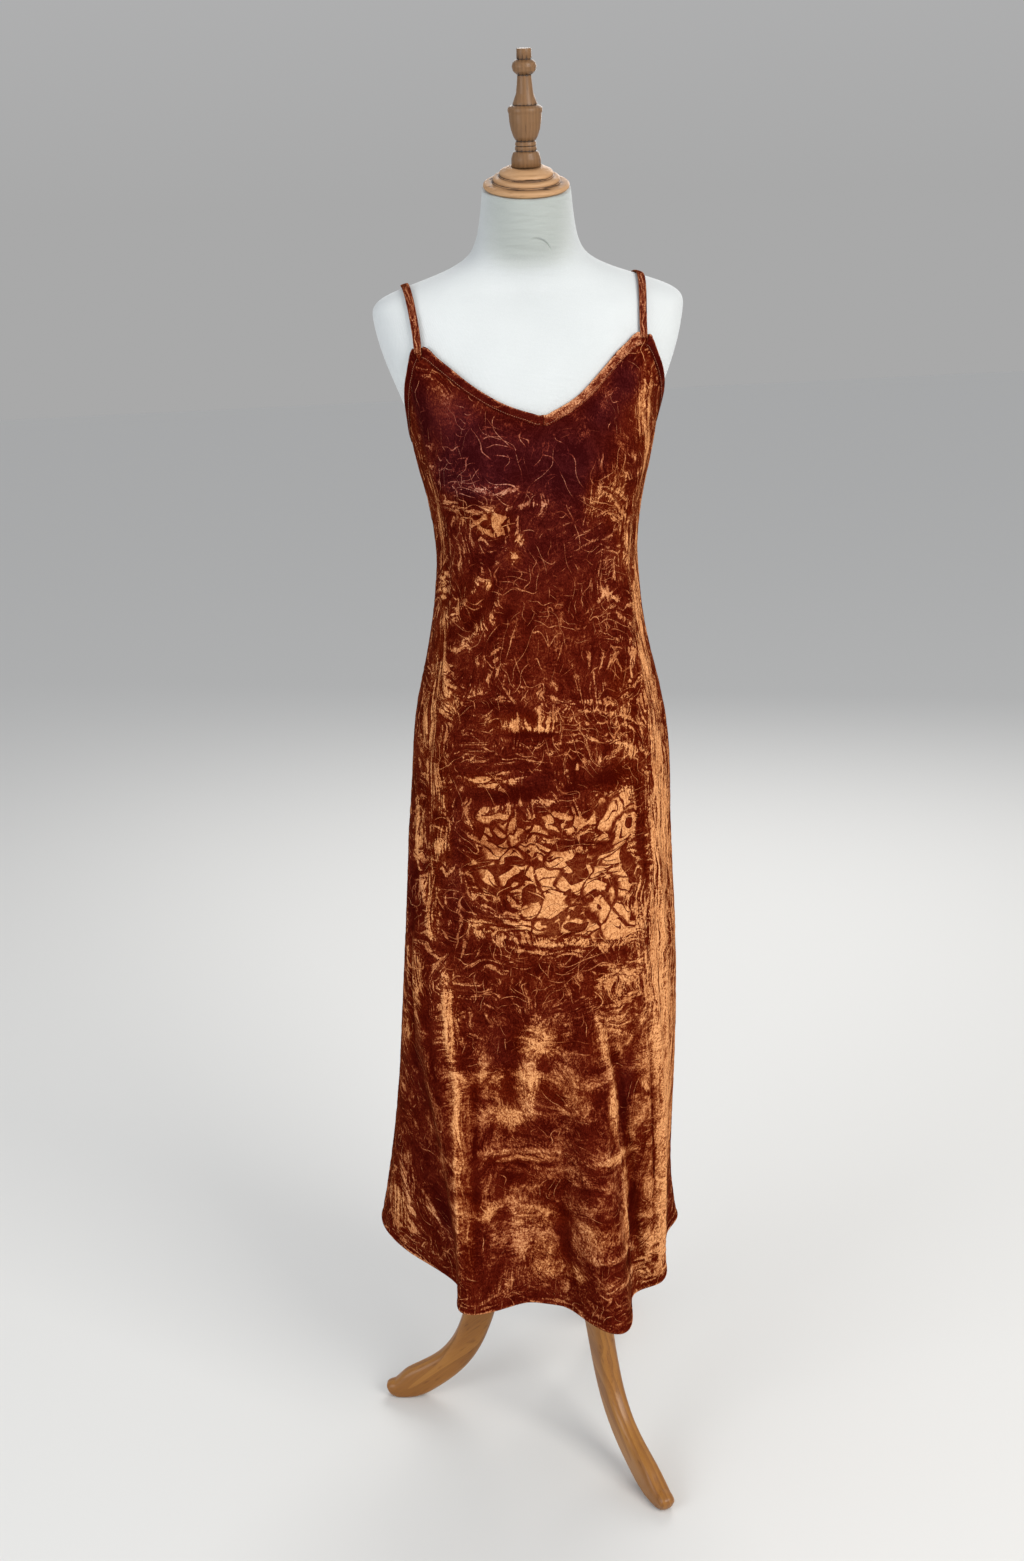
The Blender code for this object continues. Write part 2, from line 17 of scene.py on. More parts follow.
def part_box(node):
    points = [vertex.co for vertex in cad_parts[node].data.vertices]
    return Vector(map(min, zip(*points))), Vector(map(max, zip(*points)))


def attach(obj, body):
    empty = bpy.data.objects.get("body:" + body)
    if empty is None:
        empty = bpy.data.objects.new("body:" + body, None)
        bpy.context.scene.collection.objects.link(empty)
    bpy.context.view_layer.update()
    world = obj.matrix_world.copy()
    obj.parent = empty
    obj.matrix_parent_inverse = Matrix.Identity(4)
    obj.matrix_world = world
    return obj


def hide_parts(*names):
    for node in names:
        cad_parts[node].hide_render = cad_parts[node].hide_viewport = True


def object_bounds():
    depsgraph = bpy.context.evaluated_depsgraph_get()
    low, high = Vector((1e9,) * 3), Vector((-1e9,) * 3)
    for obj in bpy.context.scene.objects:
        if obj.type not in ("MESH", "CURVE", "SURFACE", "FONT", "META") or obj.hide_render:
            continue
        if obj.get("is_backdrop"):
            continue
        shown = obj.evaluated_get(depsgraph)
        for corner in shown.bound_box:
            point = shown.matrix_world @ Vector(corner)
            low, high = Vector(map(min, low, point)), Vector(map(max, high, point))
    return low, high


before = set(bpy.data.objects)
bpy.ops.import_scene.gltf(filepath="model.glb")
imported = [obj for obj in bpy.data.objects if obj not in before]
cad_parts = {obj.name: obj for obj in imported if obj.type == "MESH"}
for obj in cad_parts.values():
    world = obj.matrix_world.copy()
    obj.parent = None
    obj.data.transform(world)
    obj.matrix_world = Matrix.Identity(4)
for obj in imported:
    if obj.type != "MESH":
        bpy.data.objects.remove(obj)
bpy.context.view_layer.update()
pole_low, pole_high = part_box("pole")
POLE = (pole_low + pole_high) / 2

# The camera: someone standing before the form, with eyes a little above its shoulders, who looks
# down at the skirt and holds the camera slightly askew.
EYE = (-0.2097, -2.2492, 1.65)
HEADING, PITCH, ROLL = -5.0, 72.5, -2.25
FOCAL_LENGTH = 42.73
camera = bpy.data.objects.new("camera", bpy.data.cameras.new("camera"))
bpy.context.scene.collection.objects.link(camera)
bpy.context.scene.camera = camera
camera.data.lens = FOCAL_LENGTH
aim = Matrix.Identity(3)
for degrees, axis in ((HEADING, "Z"), (PITCH, "X"), (ROLL, "Z")):
    aim = aim @ Matrix.Rotation(math.radians(degrees), 3, axis)
camera.rotation_euler = aim.to_euler()
camera.location = EYE

# The studio: a plain pale floor, one large soft light ahead at the right, a weaker one at the left,
# one behind for the outline, and pale air all round.
FLOOR_REACH, FLOOR_DROP = 14.0, 0.0005
FLOOR_CORNERS = [
    (x * FLOOR_REACH, y * FLOOR_REACH, -FLOOR_DROP) for x, y in ((-1, -1), (1, -1), (1, 1), (-1, 1))
]


def feed(tree, socket, source):
    """Gives a socket a value, or links a node's output to it."""
    if isinstance(source, bpy.types.NodeSocket):
        tree.links.new(source, socket)
    else:
        socket.default_value = source


def add_node(tree, kind, inputs, **settings):
    """A new node with its settings, and with what its inputs hold, by name or number."""
    node = tree.nodes.new("ShaderNode" + kind)
    for setting, value in settings.items():
        setattr(node, setting, value)
    for name, source in inputs.items():
        feed(tree, node.inputs[name], source)
    return node


def split(tree, vector):
    return add_node(tree, "SeparateXYZ", {0: vector}).outputs


def colours(tree, value, *stops):
    """A ramp through (place, colour) stops."""
    node = add_node(tree, "ValToRGB", {0: value})
    ramp = node.color_ramp
    while len(ramp.elements) < len(stops):
        ramp.elements.new(0.5)
    for element, (place, colour) in zip(ramp.elements, stops):
        element.position = place
        element.color = (*colour, 1)
    return node.outputs[0]


def new_material(name, **sockets):
    """A material, its tree and its Principled shader, with constant sockets set."""
    material = bpy.data.materials.new(name)
    material.use_nodes = True
    shader = material.node_tree.nodes["Principled BSDF"]
    for socket, value in sockets.items():
        shader.inputs[socket.replace("_", " ")].default_value = value
    return material, material.node_tree, shader


def soft_light(name, place, towards, size, watts, colour):
    lamp = bpy.data.lights.new(name, "AREA")
    lamp.shape = "RECTANGLE"
    lamp.size, lamp.size_y = size
    lamp.energy = watts
    lamp.color = colour
    light = bpy.data.objects.new(name, lamp)
    light.location = place
    light.rotation_euler = (Vector(towards) - Vector(place)).to_track_quat("-Z", "Y").to_euler()
    bpy.context.scene.collection.objects.link(light)


floor_mesh = bpy.data.meshes.new("floor")
floor_mesh.from_pydata(FLOOR_CORNERS, [], [(0, 1, 2, 3)])
floor = bpy.data.objects.new("floor", floor_mesh)
bpy.context.scene.collection.objects.link(floor)
floor_mesh.materials.append(new_material("floor_paint", Base_Color=(0.72, 0.72, 0.71, 1), Roughness=0.85)[0])
floor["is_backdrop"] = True
soft_light("key", (1.9, -2.6, 2.5), (0, 0, 0.95), (1.8, 2.2), 95, (1.0, 0.97, 0.92))
soft_light("fill", (-2.6, -1.9, 1.7), (0, 0, 0.9), (1.8, 2.2), 42, (0.95, 0.98, 1.0))
soft_light("behind", (0.8, 2.6, 2.4), (0, 0, 1.0), (2.0, 1.6), 45, (1.0, 0.98, 0.95))
air = bpy.data.worlds.new("air")
air.use_nodes = True
background = air.node_tree.nodes["Background"]
background.inputs["Strength"].default_value = 0.66
upward = split(air.node_tree, add_node(air.node_tree, "TexCoord", {}).outputs["Generated"])[2]
fade = colours(air.node_tree, upward, (0.0, (0.60, 0.60, 0.60)), (0.45, (0.80, 0.81, 0.83)))
feed(air.node_tree, background.inputs["Color"], fade)
bpy.context.scene.world = air
bpy.context.scene.view_settings.view_transform = "Standard"

# The form: foam under white cotton jersey, a fine rib knit drawn tight over the neck and shoulders,
# with one slack crease at the front of the neck. The solid's faces are smoothed, and its rims stay.
WALE, COURSE, KNIT_RADIUS = 0.0017, 0.0014, 0.15
NECK_FOOT, NECK_BLEND, NECK_RADIUS = 1.545, 0.055, 0.060  # on the neck the jersey is tighter, with level drags, and painted shade makes it greyer
SLACK_TURN, SLACK_HEIGHT, SLACK_FALL, SLACK_BOW = 0.17, 1.600, 0.44, 35.0
SLACK_HALF, SLACK_WIDTH, SLACK_DEPTH = 0.015, 0.0028, 0.0024
SHADE_LOW, SHADE_SPAN = -0.5, 1.5
JERSEY_COLOURS = (
    # shade, colour
    (-0.5, (0.39, 0.42, 0.40)),
    (-0.1, (0.50, 0.53, 0.52)),
    (0.2, (0.58, 0.61, 0.62)),
    (0.75, (0.71, 0.74, 0.75)),
)
MERGE_WITHIN = 1e-5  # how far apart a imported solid's doubled points may lie


def calc(tree, operation, *values):
    return add_node(tree, "Math", dict(enumerate(values)), operation=operation).outputs[0]


def calc_vector(tree, operation, *values):
    return add_node(tree, "VectorMath", dict(enumerate(values)), operation=operation).outputs[0]


def times(tree, first, second):
    return calc(tree, "MULTIPLY", first, second)


def add(tree, *terms):
    """The sum of values, each alone or in a pair with its factor."""
    total = 0.0
    for term in terms:
        value, factor = term if isinstance(term, tuple) else (term, 1.0)
        total = calc(tree, "MULTIPLY_ADD", value, factor, total)
    return total


def span(tree, value, low, high, start=0.0, end=1.0):
    """Value's way from low to high, eased and mapped to start and end."""
    inputs = {"Value": value, "From Min": low, "From Max": high, "To Min": start, "To Max": end}
    return add_node(tree, "MapRange", inputs, interpolation_type="SMOOTHSTEP").outputs[0]


def cloudy(tree, vector, scale, detail=2.0, roughness=0.5, output="Fac"):
    inputs = {"Vector": vector, "Scale": scale, "Detail": detail, "Roughness": roughness}
    return add_node(tree, "TexNoise", inputs).outputs[output]


def from_mesh(tree, name, output="Fac"):
    """An attribute that the mesh carries."""
    return add_node(tree, "Attribute", {}, attribute_name=name).outputs[output]


def relief(tree, height, distance, strength=1.0):
    return add_node(tree, "Bump", {"Height": height, "Distance": distance, "Strength": strength}).outputs[0]


def packed(*nodes):
    """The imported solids' faces, with doubled points merged."""
    build = bmesh.new()
    for node in nodes:
        build.from_mesh(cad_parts[node].data)
    bmesh.ops.remove_doubles(build, verts=build.verts, dist=MERGE_WITHIN)
    return build


def pair_triangles(build, bend, skew):
    """Joins triangles to quads where they bend and skew by no more than these angles."""
    bmesh.ops.join_triangles(
        build,
        faces=build.faces,
        angle_face_threshold=math.radians(bend),
        angle_shape_threshold=math.radians(skew),
    )


def new_piece(name, build):
    mesh = bpy.data.meshes.new(name)
    build.to_mesh(mesh)
    build.free()
    piece = bpy.data.objects.new(name, mesh)
    bpy.context.scene.collection.objects.link(piece)
    return piece


def smoothed(name, node, levels, sharp):
    """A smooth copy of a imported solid: triangles paired, sharp edges kept, the rest subdivided."""
    build = packed(node)
    pair_triangles(build, 50, 70)
    crease = build.edges.layers.float.new("crease_edge")
    for edge in build.edges:
        if edge.calc_face_angle(0) > math.radians(sharp):
            edge[crease] = 1.0
        edge.smooth = True
    for face in build.faces:
        face.smooth = True
    piece = new_piece(name, build)
    subdivide = piece.modifiers.new("smooth", "SUBSURF")
    subdivide.levels = subdivide.render_levels = levels
    return piece


def place_on_frame(piece, material, slot, *nodes):
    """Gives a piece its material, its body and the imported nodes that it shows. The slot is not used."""
    piece.data.materials.append(material)
    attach(piece, "root")
    if nodes:
        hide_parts(*nodes)


jersey, tree, shader = new_material("white_jersey", Sheen_Weight=0.25, Sheen_Roughness=0.5)
spot = add_node(tree, "TexCoord", {}).outputs["Object"]
x, y, z = split(tree, calc_vector(tree, "SUBTRACT", spot, (POLE.x, POLE.y, 0)))
round_pole = calc(tree, "ARCTAN2", x, times(tree, y, -1.0))
wale = calc(tree, "SINE", times(tree, round_pole, 2 * math.pi * KNIT_RADIUS / WALE))
course = calc(tree, "SINE", add(tree, (z, 2 * math.pi / COURSE), wale))
knit = add(tree, (wale, 0.6), (course, 0.4))
soil, speck = cloudy(tree, spot, 7.0, 3.0), cloudy(tree, spot, 900.0, 1.0)
# Painted shade: above NECK_FOOT the jersey is darkened, most at the front of the neck.
in_front = span(tree, calc(tree, "ABSOLUTE", round_pole), 0.3, 1.2, 1.0, 0.35)
neck_shade_and_drags = times(tree, span(tree, z, NECK_FOOT, NECK_FOOT + NECK_BLEND), in_front)
shade = add(tree, (soil, 0.6), (speck, 0.3), (knit, 0.12), (neck_shade_and_drags, -0.95))
ramp = [((place - SHADE_LOW) / SHADE_SPAN, colour) for place, colour in JERSEY_COLOURS]
shade = add(tree, -SHADE_LOW / SHADE_SPAN, (shade, 1 / SHADE_SPAN))
feed(tree, shader.inputs["Base Color"], colours(tree, shade, *ramp))
feed(tree, shader.inputs["Roughness"], span(tree, soil, 0.3, 0.7, 0.82, 0.92))
drag = cloudy(tree, calc_vector(tree, "MULTIPLY", spot, (1, 1, 2.2)), 26.0, 1.0)
level_drag = cloudy(tree, calc_vector(tree, "MULTIPLY", spot, (1, 1, 6.0)), 24.0, 1.5)
beside = times(tree, add(tree, round_pole, -SLACK_TURN), NECK_RADIUS)
slack_line = add(tree, SLACK_HEIGHT, (beside, -SLACK_FALL), (times(tree, beside, beside), -SLACK_BOW))
off_line = calc(tree, "ABSOLUTE", calc(tree, "SUBTRACT", z, slack_line))
slack_end = span(tree, calc(tree, "ABSOLUTE", beside), 0.3 * SLACK_HALF, SLACK_HALF, 1.0, 0.0)
slack = times(tree, span(tree, off_line, 0.0, SLACK_WIDTH, 1.0, 0.0), slack_end)
rise = add(tree, (drag, 0.0009), (knit, 0.00012), (times(tree, level_drag, neck_shade_and_drags), 0.0040))
rise = add(tree, rise, (slack, -SLACK_DEPTH))
feed(tree, shader.inputs["Normal"], relief(tree, rise, 1.0, 0.8))
place_on_frame(smoothed("jersey_form", "form_torso", 2, 55), jersey, "white_jersey", "form_torso")

# The neck cap and the finial are turned in beech, pale for the cap and, as painted shade, darker brown
# for the finial. The cap is screwed down on the neck's sloping top, and the finial stands a little more
# upright on it.
CAP_LEAN, FINIAL_LEAN = 15.0, 7.0
TURNED_STEPS = 96
ON_COLUMN = 0.0002  # how near the line straight to +X the solid's points lie that give its profile
CORNER, CORNER_ARC = 0.0006, 3
GROOVE, GROOVE_BELOW = 0.0008, 155.0  # a groove's depth, and the flattest inner corner that has one
GROOVE_SHADE = (0.30, 0.95, 0.30)  # painted shade: how far the wood is darkened at a groove's edges and in between
PALE_BEECH = ((0.0, (0.075, 0.034, 0.014)), (0.16, (0.40, 0.220, 0.102)), (1.0, (0.59, 0.35, 0.180)))
SHADED_BEECH = ((0.0, (0.035, 0.016, 0.007)), (0.16, (0.160, 0.080, 0.033)), (1.0, (0.250, 0.130, 0.055)))


def new_group(name, vector, values, results):
    """A node group's tree, with what it is given and what it makes."""
    group = bpy.data.node_groups.new(name, "ShaderNodeTree")
    group.interface.new_socket(vector, in_out="INPUT", socket_type="NodeSocketVector")
    for value in values:
        group.interface.new_socket(value, in_out="INPUT", socket_type="NodeSocketFloat")
    for result in results:
        group.interface.new_socket(result, in_out="OUTPUT", socket_type="NodeSocketFloat")
    return group, group.nodes.new("NodeGroupInput").outputs, group.nodes.new("NodeGroupOutput").inputs


def wood_grain_group():
    """Grain along Z of its Vector, in metres: Tone runs from dark late wood to light, Height is pores."""
    group, given, made = new_group("wood_grain", "Vector", ["Ring Width"], ["Tone", "Height"])

    def grown(scale, detail, *stretch):
        """Noise drawn out along the wood."""
        return cloudy(group, calc_vector(group, "MULTIPLY", given["Vector"], stretch), scale, detail)

    bent = add(group, split(group, given["Vector"])[0], (grown(20.0, 2.0, 1.0, 1.0, 0.12), 0.030))
    late = span(group, calc(group, "FRACT", calc(group, "DIVIDE", bent, given["Ring Width"])), 0.15, 0.95)
    fine = grown(900.0, 2.0, 1.0, 1.0, 0.03)
    flecks = span(group, grown(420.0, 1.0, 1.0, 0.4, 0.10), 0.60, 0.72)
    patchy = cloudy(group, given["Vector"], 14.0, 3.0)
    tone = add(group, 0.17, (late, -0.30), (fine, 0.40), (patchy, 0.50), (flecks, -0.22))
    feed(group, made["Tone"], tone)
    feed(group, made["Height"], add(group, fine, (flecks, -1.0)))
    return group


wood_grain = wood_grain_group()


def wood_material(name, stops, ring_width, roughness, gloss, groove_shaded=False):
    """Varnished wood. Where it has turned grooves, painted shade darkens it."""
    material, tree, shader = new_material(
        name, Coat_Weight=gloss, Coat_Roughness=0.22, Specular_IOR_Level=0.30
    )
    inputs = {"Vector": from_mesh(tree, "grain", "Vector"), "Ring Width": ring_width}
    grain = add_node(tree, "Group", inputs, node_tree=wood_grain).outputs
    tone = grain["Tone"]
    # Painted shade in the turned grooves, as the mesh carries it.
    if groove_shaded:
        tone = calc(tree, "SUBTRACT", tone, from_mesh(tree, "groove"))
    feed(tree, shader.inputs["Base Color"], colours(tree, tone, *stops))
    dullness = span(tree, grain["Tone"], 0.0, 1.0, roughness + 0.12, roughness)
    feed(tree, shader.inputs["Roughness"], dullness)
    feed(tree, shader.inputs["Normal"], relief(tree, grain["Height"], 0.00012))
    return material


def store(piece, name, values):
    """Keeps a number or a place for each of the mesh's points, for the material to read."""
    kind, key = ("FLOAT_VECTOR", "vector") if np.ndim(values) == 2 else ("FLOAT", "value")
    layer = piece.data.attributes.new(name, kind, "POINT")
    layer.data.foreach_set(key, np.ravel(values).astype(np.float32))


def set_grain(piece, to_grain):
    """Keeps on the mesh where each point lies in the wood, with Z along the grain."""
    store(piece, "grain", np.array([to_grain @ vertex.co for vertex in piece.data.vertices]))


def piece_of_tubes(name, tubes):
    """A piece of closed tubes, each given as rings of points, with both ends filled."""
    build = bmesh.new()
    for rings in tubes:
        rows = [[build.verts.new(point) for point in ring] for ring in rings]
        count = len(rows[0])
        for low, high in zip(rows, rows[1:]):
            for i in range(count):
                j = (i + 1) % count
                build.faces.new((low[i], low[j], high[j], high[i])).smooth = True
        build.faces.new(rows[0][::-1])
        build.faces.new(rows[-1])
    bmesh.ops.recalc_face_normals(build, faces=build.faces)
    return new_piece(name, build)


def turned_piece(name, node, lean, material, grain_turn):
    """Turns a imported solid's own profile finely: outer corners rounded, inner ones cut as grooves."""
    build = packed(node)
    upright = Matrix.Rotation(-math.radians(lean), 4, "X")
    points = np.array([upright @ vertex.co for vertex in build.verts])
    build.free()
    centre = points[:, :2].mean(axis=0)
    across = points[:, :2] - centre
    column = (np.abs(across[:, 1]) < ON_COLUMN) & (across[:, 0] > ON_COLUMN)
    profile = np.column_stack([across[column, 0], points[column, 2]])
    profile = profile[np.argsort(profile[:, 1])]
    line = [Vector(p) for p in profile] + [Vector((0.0, profile[-1, 1]))]
    rounded, grooves = [line[0]], [0.0]
    for before, here, after in zip(line, line[1:], line[2:]):
        back, on = before - here, after - here
        inward = back.cross(on) > 0 and math.degrees(back.angle(on)) < GROOVE_BELOW
        cut = min(GROOVE if inward else CORNER, back.length * 0.45, on.length * 0.45)
        start, end = here + back.normalized() * cut, here + on.normalized() * cut
        # An inner corner is cut as a groove, and its points carry painted shade.
        if inward:
            rounded += [start, here - (start + end - 2 * here).normalized() * GROOVE, end]
            grooves += GROOVE_SHADE
            continue
        for step in range(CORNER_ARC + 1):
            t = step / CORNER_ARC
            rounded.append(start * (1 - t) ** 2 + here * 2 * t * (1 - t) + end * t**2)
            grooves.append(0.0)
    turns = np.linspace(0, 2 * np.pi, TURNED_STEPS, endpoint=False)
    around = np.column_stack([np.cos(turns), np.sin(turns), np.zeros(TURNED_STEPS)])
    rings = [around * radius + (*centre, height) for radius, height in rounded]
    piece = piece_of_tubes(name, [rings])
    set_grain(piece, grain_turn)
    store(piece, "groove", np.repeat(grooves, TURNED_STEPS))
    piece.data.transform(upright.inverted())
    place_on_frame(piece, material, "turned_pale_wood", node)


cap_wood = wood_material("pale_beech", PALE_BEECH, 0.0060, 0.50, 0.10, groove_shaded=True)
# The finial's darker beech is painted shade.
finial_wood = wood_material("beech_with_painted_shade", SHADED_BEECH, 0.0045, 0.45, 0.15, groove_shaded=True)
across_grain = Matrix.Rotation(math.radians(90), 4, "Y")
turned_piece("turned_cap", "neck_cap", CAP_LEAN, cap_wood, across_grain)
turned_piece("finial_turning", "finial", FINIAL_LEAN, finial_wood, Matrix.Identity(4))

# The stand: a turned pole in a round hub, and three bent legs sawn from straight-grained planks,
# their edges rounded over and their feet worn, all stained golden brown and varnished.
OAK = ((0.0, (0.16, 0.055, 0.009)), (0.45, (0.28, 0.110, 0.018)), (1.0, (0.42, 0.190, 0.038)))
GRAIN_LEAN = 52.0  # how far a leg's grain leans from upright
TIP_HALF, TIP_MIDDLE, TIP_ROUND, TIP_LENGTH = 0.0130, 0.012, 0.009, 0.050  # the foot's end, worn round
TIP_SPARE = 0.004  # how far the foot is drawn out again, beyond what smoothing shrank
SOLE_EDGE = 0.012  # up to this height the smoothed sole is pressed level again
varnished = wood_material("varnished_wood", OAK, 0.0090, 0.34, 0.22)
for node, name in (("pole", "stand_pole"), ("leg_hub", "stand_hub")):
    piece = smoothed(name, node, 3, 30)
    set_grain(piece, Matrix.Identity(4))
    place_on_frame(piece, varnished, "varnished_wood", node)
below_pole = Vector((POLE.x, POLE.y, 0.0))
for node in ("leg_front", "leg_right", "leg_back"):
    piece = smoothed(node + "_bent", node, 3, 180)
    subdivided = piece.evaluated_get(bpy.context.evaluated_depsgraph_get())
    piece.data = bpy.data.meshes.new_from_object(subdivided)
    piece.modifiers.clear()
    points = np.array([vertex.co - below_pole for vertex in piece.data.vertices])
    from_pole = np.hypot(points[:, 0], points[:, 1])
    ahead = points[from_pole > from_pole.max() - TIP_LENGTH, :2].mean(axis=0)
    ahead /= np.hypot(*ahead)
    along, aside = points[:, :2] @ ahead, points[:, :2] @ (-ahead[1], ahead[0])
    solid = np.array([vertex.co - below_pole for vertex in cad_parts[node].data.vertices])
    shrunk = (solid[:, :2] @ ahead).max() - along.max() + TIP_SPARE
    near = np.clip((along - along.max() + TIP_LENGTH) / TIP_LENGTH, 0, 1)
    off = np.clip(np.hypot(aside, points[:, 2] - TIP_MIDDLE) / TIP_HALF, 0, 1)
    points[:, :2] += ((shrunk - TIP_ROUND * (1 - np.sqrt(1 - off**2))) * near)[:, None] * ahead
    points[:, 2] -= points[:, 2].min() * np.clip(1 - points[:, 2] / SOLE_EDGE, 0, 1)
    piece.data.vertices.foreach_set("co", (points + np.array(below_pole)).astype(np.float32).ravel())
    low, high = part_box(node)
    outer = (low + high) / 2 - POLE
    facing = Matrix.Rotation(-math.atan2(outer.x, -outer.y), 4, "Z")
    set_grain(piece, Matrix.Rotation(math.radians(GRAIN_LEAN), 4, "X") @ facing)
    place_on_frame(piece, varnished, "varnished_wood", node)

# The dress: a front and a back of crushed velvet, sewn at the sides, that cling to the form down to
# the hips and hang below them in soft folds. Each is a thin shell on its solid, with creases laid in.
WALL, WALL_AT_HEM, TURNED_HEM = 0.0016, 0.0026, 0.005
SIDE_SEAM, SEAM_GAP, SEAM_CLOSED = 94.0, 0.05, 0.0004  # degrees, degrees and metres
COLUMNS, ROWS, INNER_STEP = 192, 420, 3
HEM_ROWS = (15.0, 12.0, 10.0, 8.4, 7.0, 6.0, 5.0, 4.0, 3.0, 1.8, 0.8, 0.0)  # millimetres above the edge
DROP = 1150  # millimetres from the top edge to the hem
FACES_AWAY = 0.7  # a wall's outer faces look away from the pole by this much at least
FLAT_ENOUGH = 50.0  # two faces of a wall's one side meet more flatly than this, and its rim's don't
MIDDLE = 1.2  # a height between the hem and the top edge
NO_CLOTH = 0.15  # how far from the pole a point lies where no velvet is met
NECK_POINT, NECK_SOFT, NECK_RISE = 0.5, 5.0, 0.0022  # where the V's point is, and how it is rounded
LATTICE = 400
HEM_BULGE_AT, HEM_BULGE_HALF, HEM_BULGE = 0.0024, 0.0022, 0.0010  # the turned hem stands out
HEM_SEAM_AT, HEM_SEAM_HALF, HEM_SEAM = 0.0062, 0.0012, 0.0005  # and its seam above draws in
HIPS, HIPS_BLEND = 1.02, 0.12  # below these the cloth hangs free, and its creases can sink deeper
SINK_ON_FORM, SINK_HANGING, RISE = 0.0010, 0.0050, 0.007
CRUSHED = (
    # how far across and up one wrinkle goes, its share of the whole, and its draw's number
    (0.016, 0.012, 0.6, 2),
    (0.0085, 0.0065, 0.4, 3),
)
CRUSH_HEIGHT = 0.0011  # how high the finest wrinkles are
WANDER, CALM_EDGE = 0.03, 0.02  # how far they wander, and the share of the drop in which they fade out
# How much painted light and shade the tone takes from the creases and the crushed wrinkles.
BASE_TONE, PAINTED_CREASE_SHADING, PAINTED_CRUSH_SHADING = 0.32, 0.22, 0.22
EDGE_LIGHT, EDGE_LIGHT_AT, EDGE_LIGHT_HALF, HEM_STREAKS = 0.16, 0.0016, 0.0018, 0.022


def outside_of(*nodes):
    """One open sheet: these walls' faces that look away from the pole, with the seams closed."""
    build = packed(*nodes)
    build.normal_update()
    kept = set()
    for face in build.faces:
        away = face.calc_center_median() - POLE
        if face.normal.xy.dot(away.xy.normalized()) > FACES_AWAY:
            kept.add(face)
    found = list(kept)
    while found:
        for edge in found.pop().edges:
            if edge.calc_face_angle(0) < math.radians(FLAT_ENOUGH):
                beyond = [face for face in edge.link_faces if face not in kept]
                kept.update(beyond)
                found += beyond
    bmesh.ops.delete(build, geom=[face for face in build.faces if face not in kept], context="FACES")
    bmesh.ops.remove_doubles(build, verts=[v for v in build.verts if v.is_boundary], dist=SEAM_CLOSED)
    pair_triangles(build, 60, 80)
    return build


def curve_through(places, values, at):
    """Reads a periodic table of angles smoothly, with no overshoot between its rows."""
    order = np.argsort(places)
    x = np.concatenate([places[order][-3:] - 360, places[order], places[order][:3] + 360])
    y = np.concatenate([values[order][-3:], values[order], values[order][:3]])
    slopes = np.diff(y) / np.diff(x)
    near, far = slopes[:-1], slopes[1:]
    together = near * far > 0
    tangents = np.zeros(len(x))
    tangents[1:-1][together] = 2 * near[together] * far[together] / (near[together] + far[together])
    at = (np.asarray(at, float) + 180) % 360 - 180
    i = np.clip(np.searchsorted(x, at) - 1, 0, len(x) - 2)
    step = x[i + 1] - x[i]
    t = (at - x[i]) / step
    rise = y[i + 1] - y[i]
    start, end = tangents[i] * step, tangents[i + 1] * step
    return y[i] + t * (start + t * (3 * rise - 2 * start - end + t * (start + end - 2 * rise)))


outside = outside_of("dress_front", "dress_back")
rim = np.array([vertex.co - POLE for vertex in outside.verts if vertex.is_boundary])
rim_angles, rim_heights = np.degrees(np.arctan2(rim[:, 0], -rim[:, 1])), rim[:, 2] + POLE.z
high = rim_heights > MIDDLE
top_table = rim_angles[high], rim_heights[high]
hem_table = rim_angles[~high], rim_heights[~high]
sheet = new_piece("outside", outside)
subdivide = sheet.modifiers.new("smooth", "SUBSURF")
subdivide.levels = 3
subdivide.boundary_smooth = "PRESERVE_CORNERS"
bpy.context.view_layer.update()
drape = BVHTree.FromObject(sheet, bpy.context.evaluated_depsgraph_get())
bpy.data.objects.remove(sheet)


def top_at(angles):
    """The panels' top edge at each angle, with the point of the neckline rounded off."""
    near = np.clip(1 - np.abs(np.asarray(angles) - NECK_POINT) / NECK_SOFT, 0, 1)
    return curve_through(*top_table, angles) + NECK_RISE * near**2


def reach(angle, height):
    """How far the velvet's outside lies from the pole. Past an edge it is read a little inside it."""
    turn = math.radians(angle)
    away = Vector((math.sin(turn), -math.cos(turn), 0))
    side = 1 if height < MIDDLE else -1
    for shift in (0, 0.001, 0.002, 0.004, 0.007, 0.011, 0.016, 0.022):
        found = drape.ray_cast(Vector((POLE.x, POLE.y, height + side * shift)), away)
        if found[0] is not None:
            return found[3]
    return NO_CLOTH


def points_at(angles, heights):
    """Points on the outside, for grids of angles and heights."""
    radii = [reach(angle, height) for angle, height in zip(angles.ravel(), heights.ravel())]
    radii = np.array(radii).reshape(angles.shape)
    turns = np.radians(angles)
    return np.stack([POLE.x + radii * np.sin(turns), POLE.y - radii * np.cos(turns), heights], axis=-1)


def normals_of(points):
    down, across = np.gradient(points, axis=0), np.gradient(points, axis=1)
    normals = np.cross(down, across)
    return normals / np.linalg.norm(normals, axis=-1, keepdims=True)


def ripples(across, up, cell_across, cell_up, seed):
    """Smooth random values from 0 to 1 over the cloth, one for each cell."""
    lattice = np.random.RandomState(seed).rand(LATTICE, LATTICE)
    x, y = across / cell_across + 150.0, up / cell_up + 20.0
    i, j = np.floor(x).astype(int), np.floor(y).astype(int)
    u, v = x - i, y - j
    u, v = u * u * (3 - 2 * u), v * v * (3 - 2 * v)
    i, j = i % (LATTICE - 1), j % (LATTICE - 1)
    low = lattice[i, j] * (1 - u) + lattice[i + 1, j] * u
    high = lattice[i, j + 1] * (1 - u) + lattice[i + 1, j + 1] * u
    return low * (1 - v) + high * v


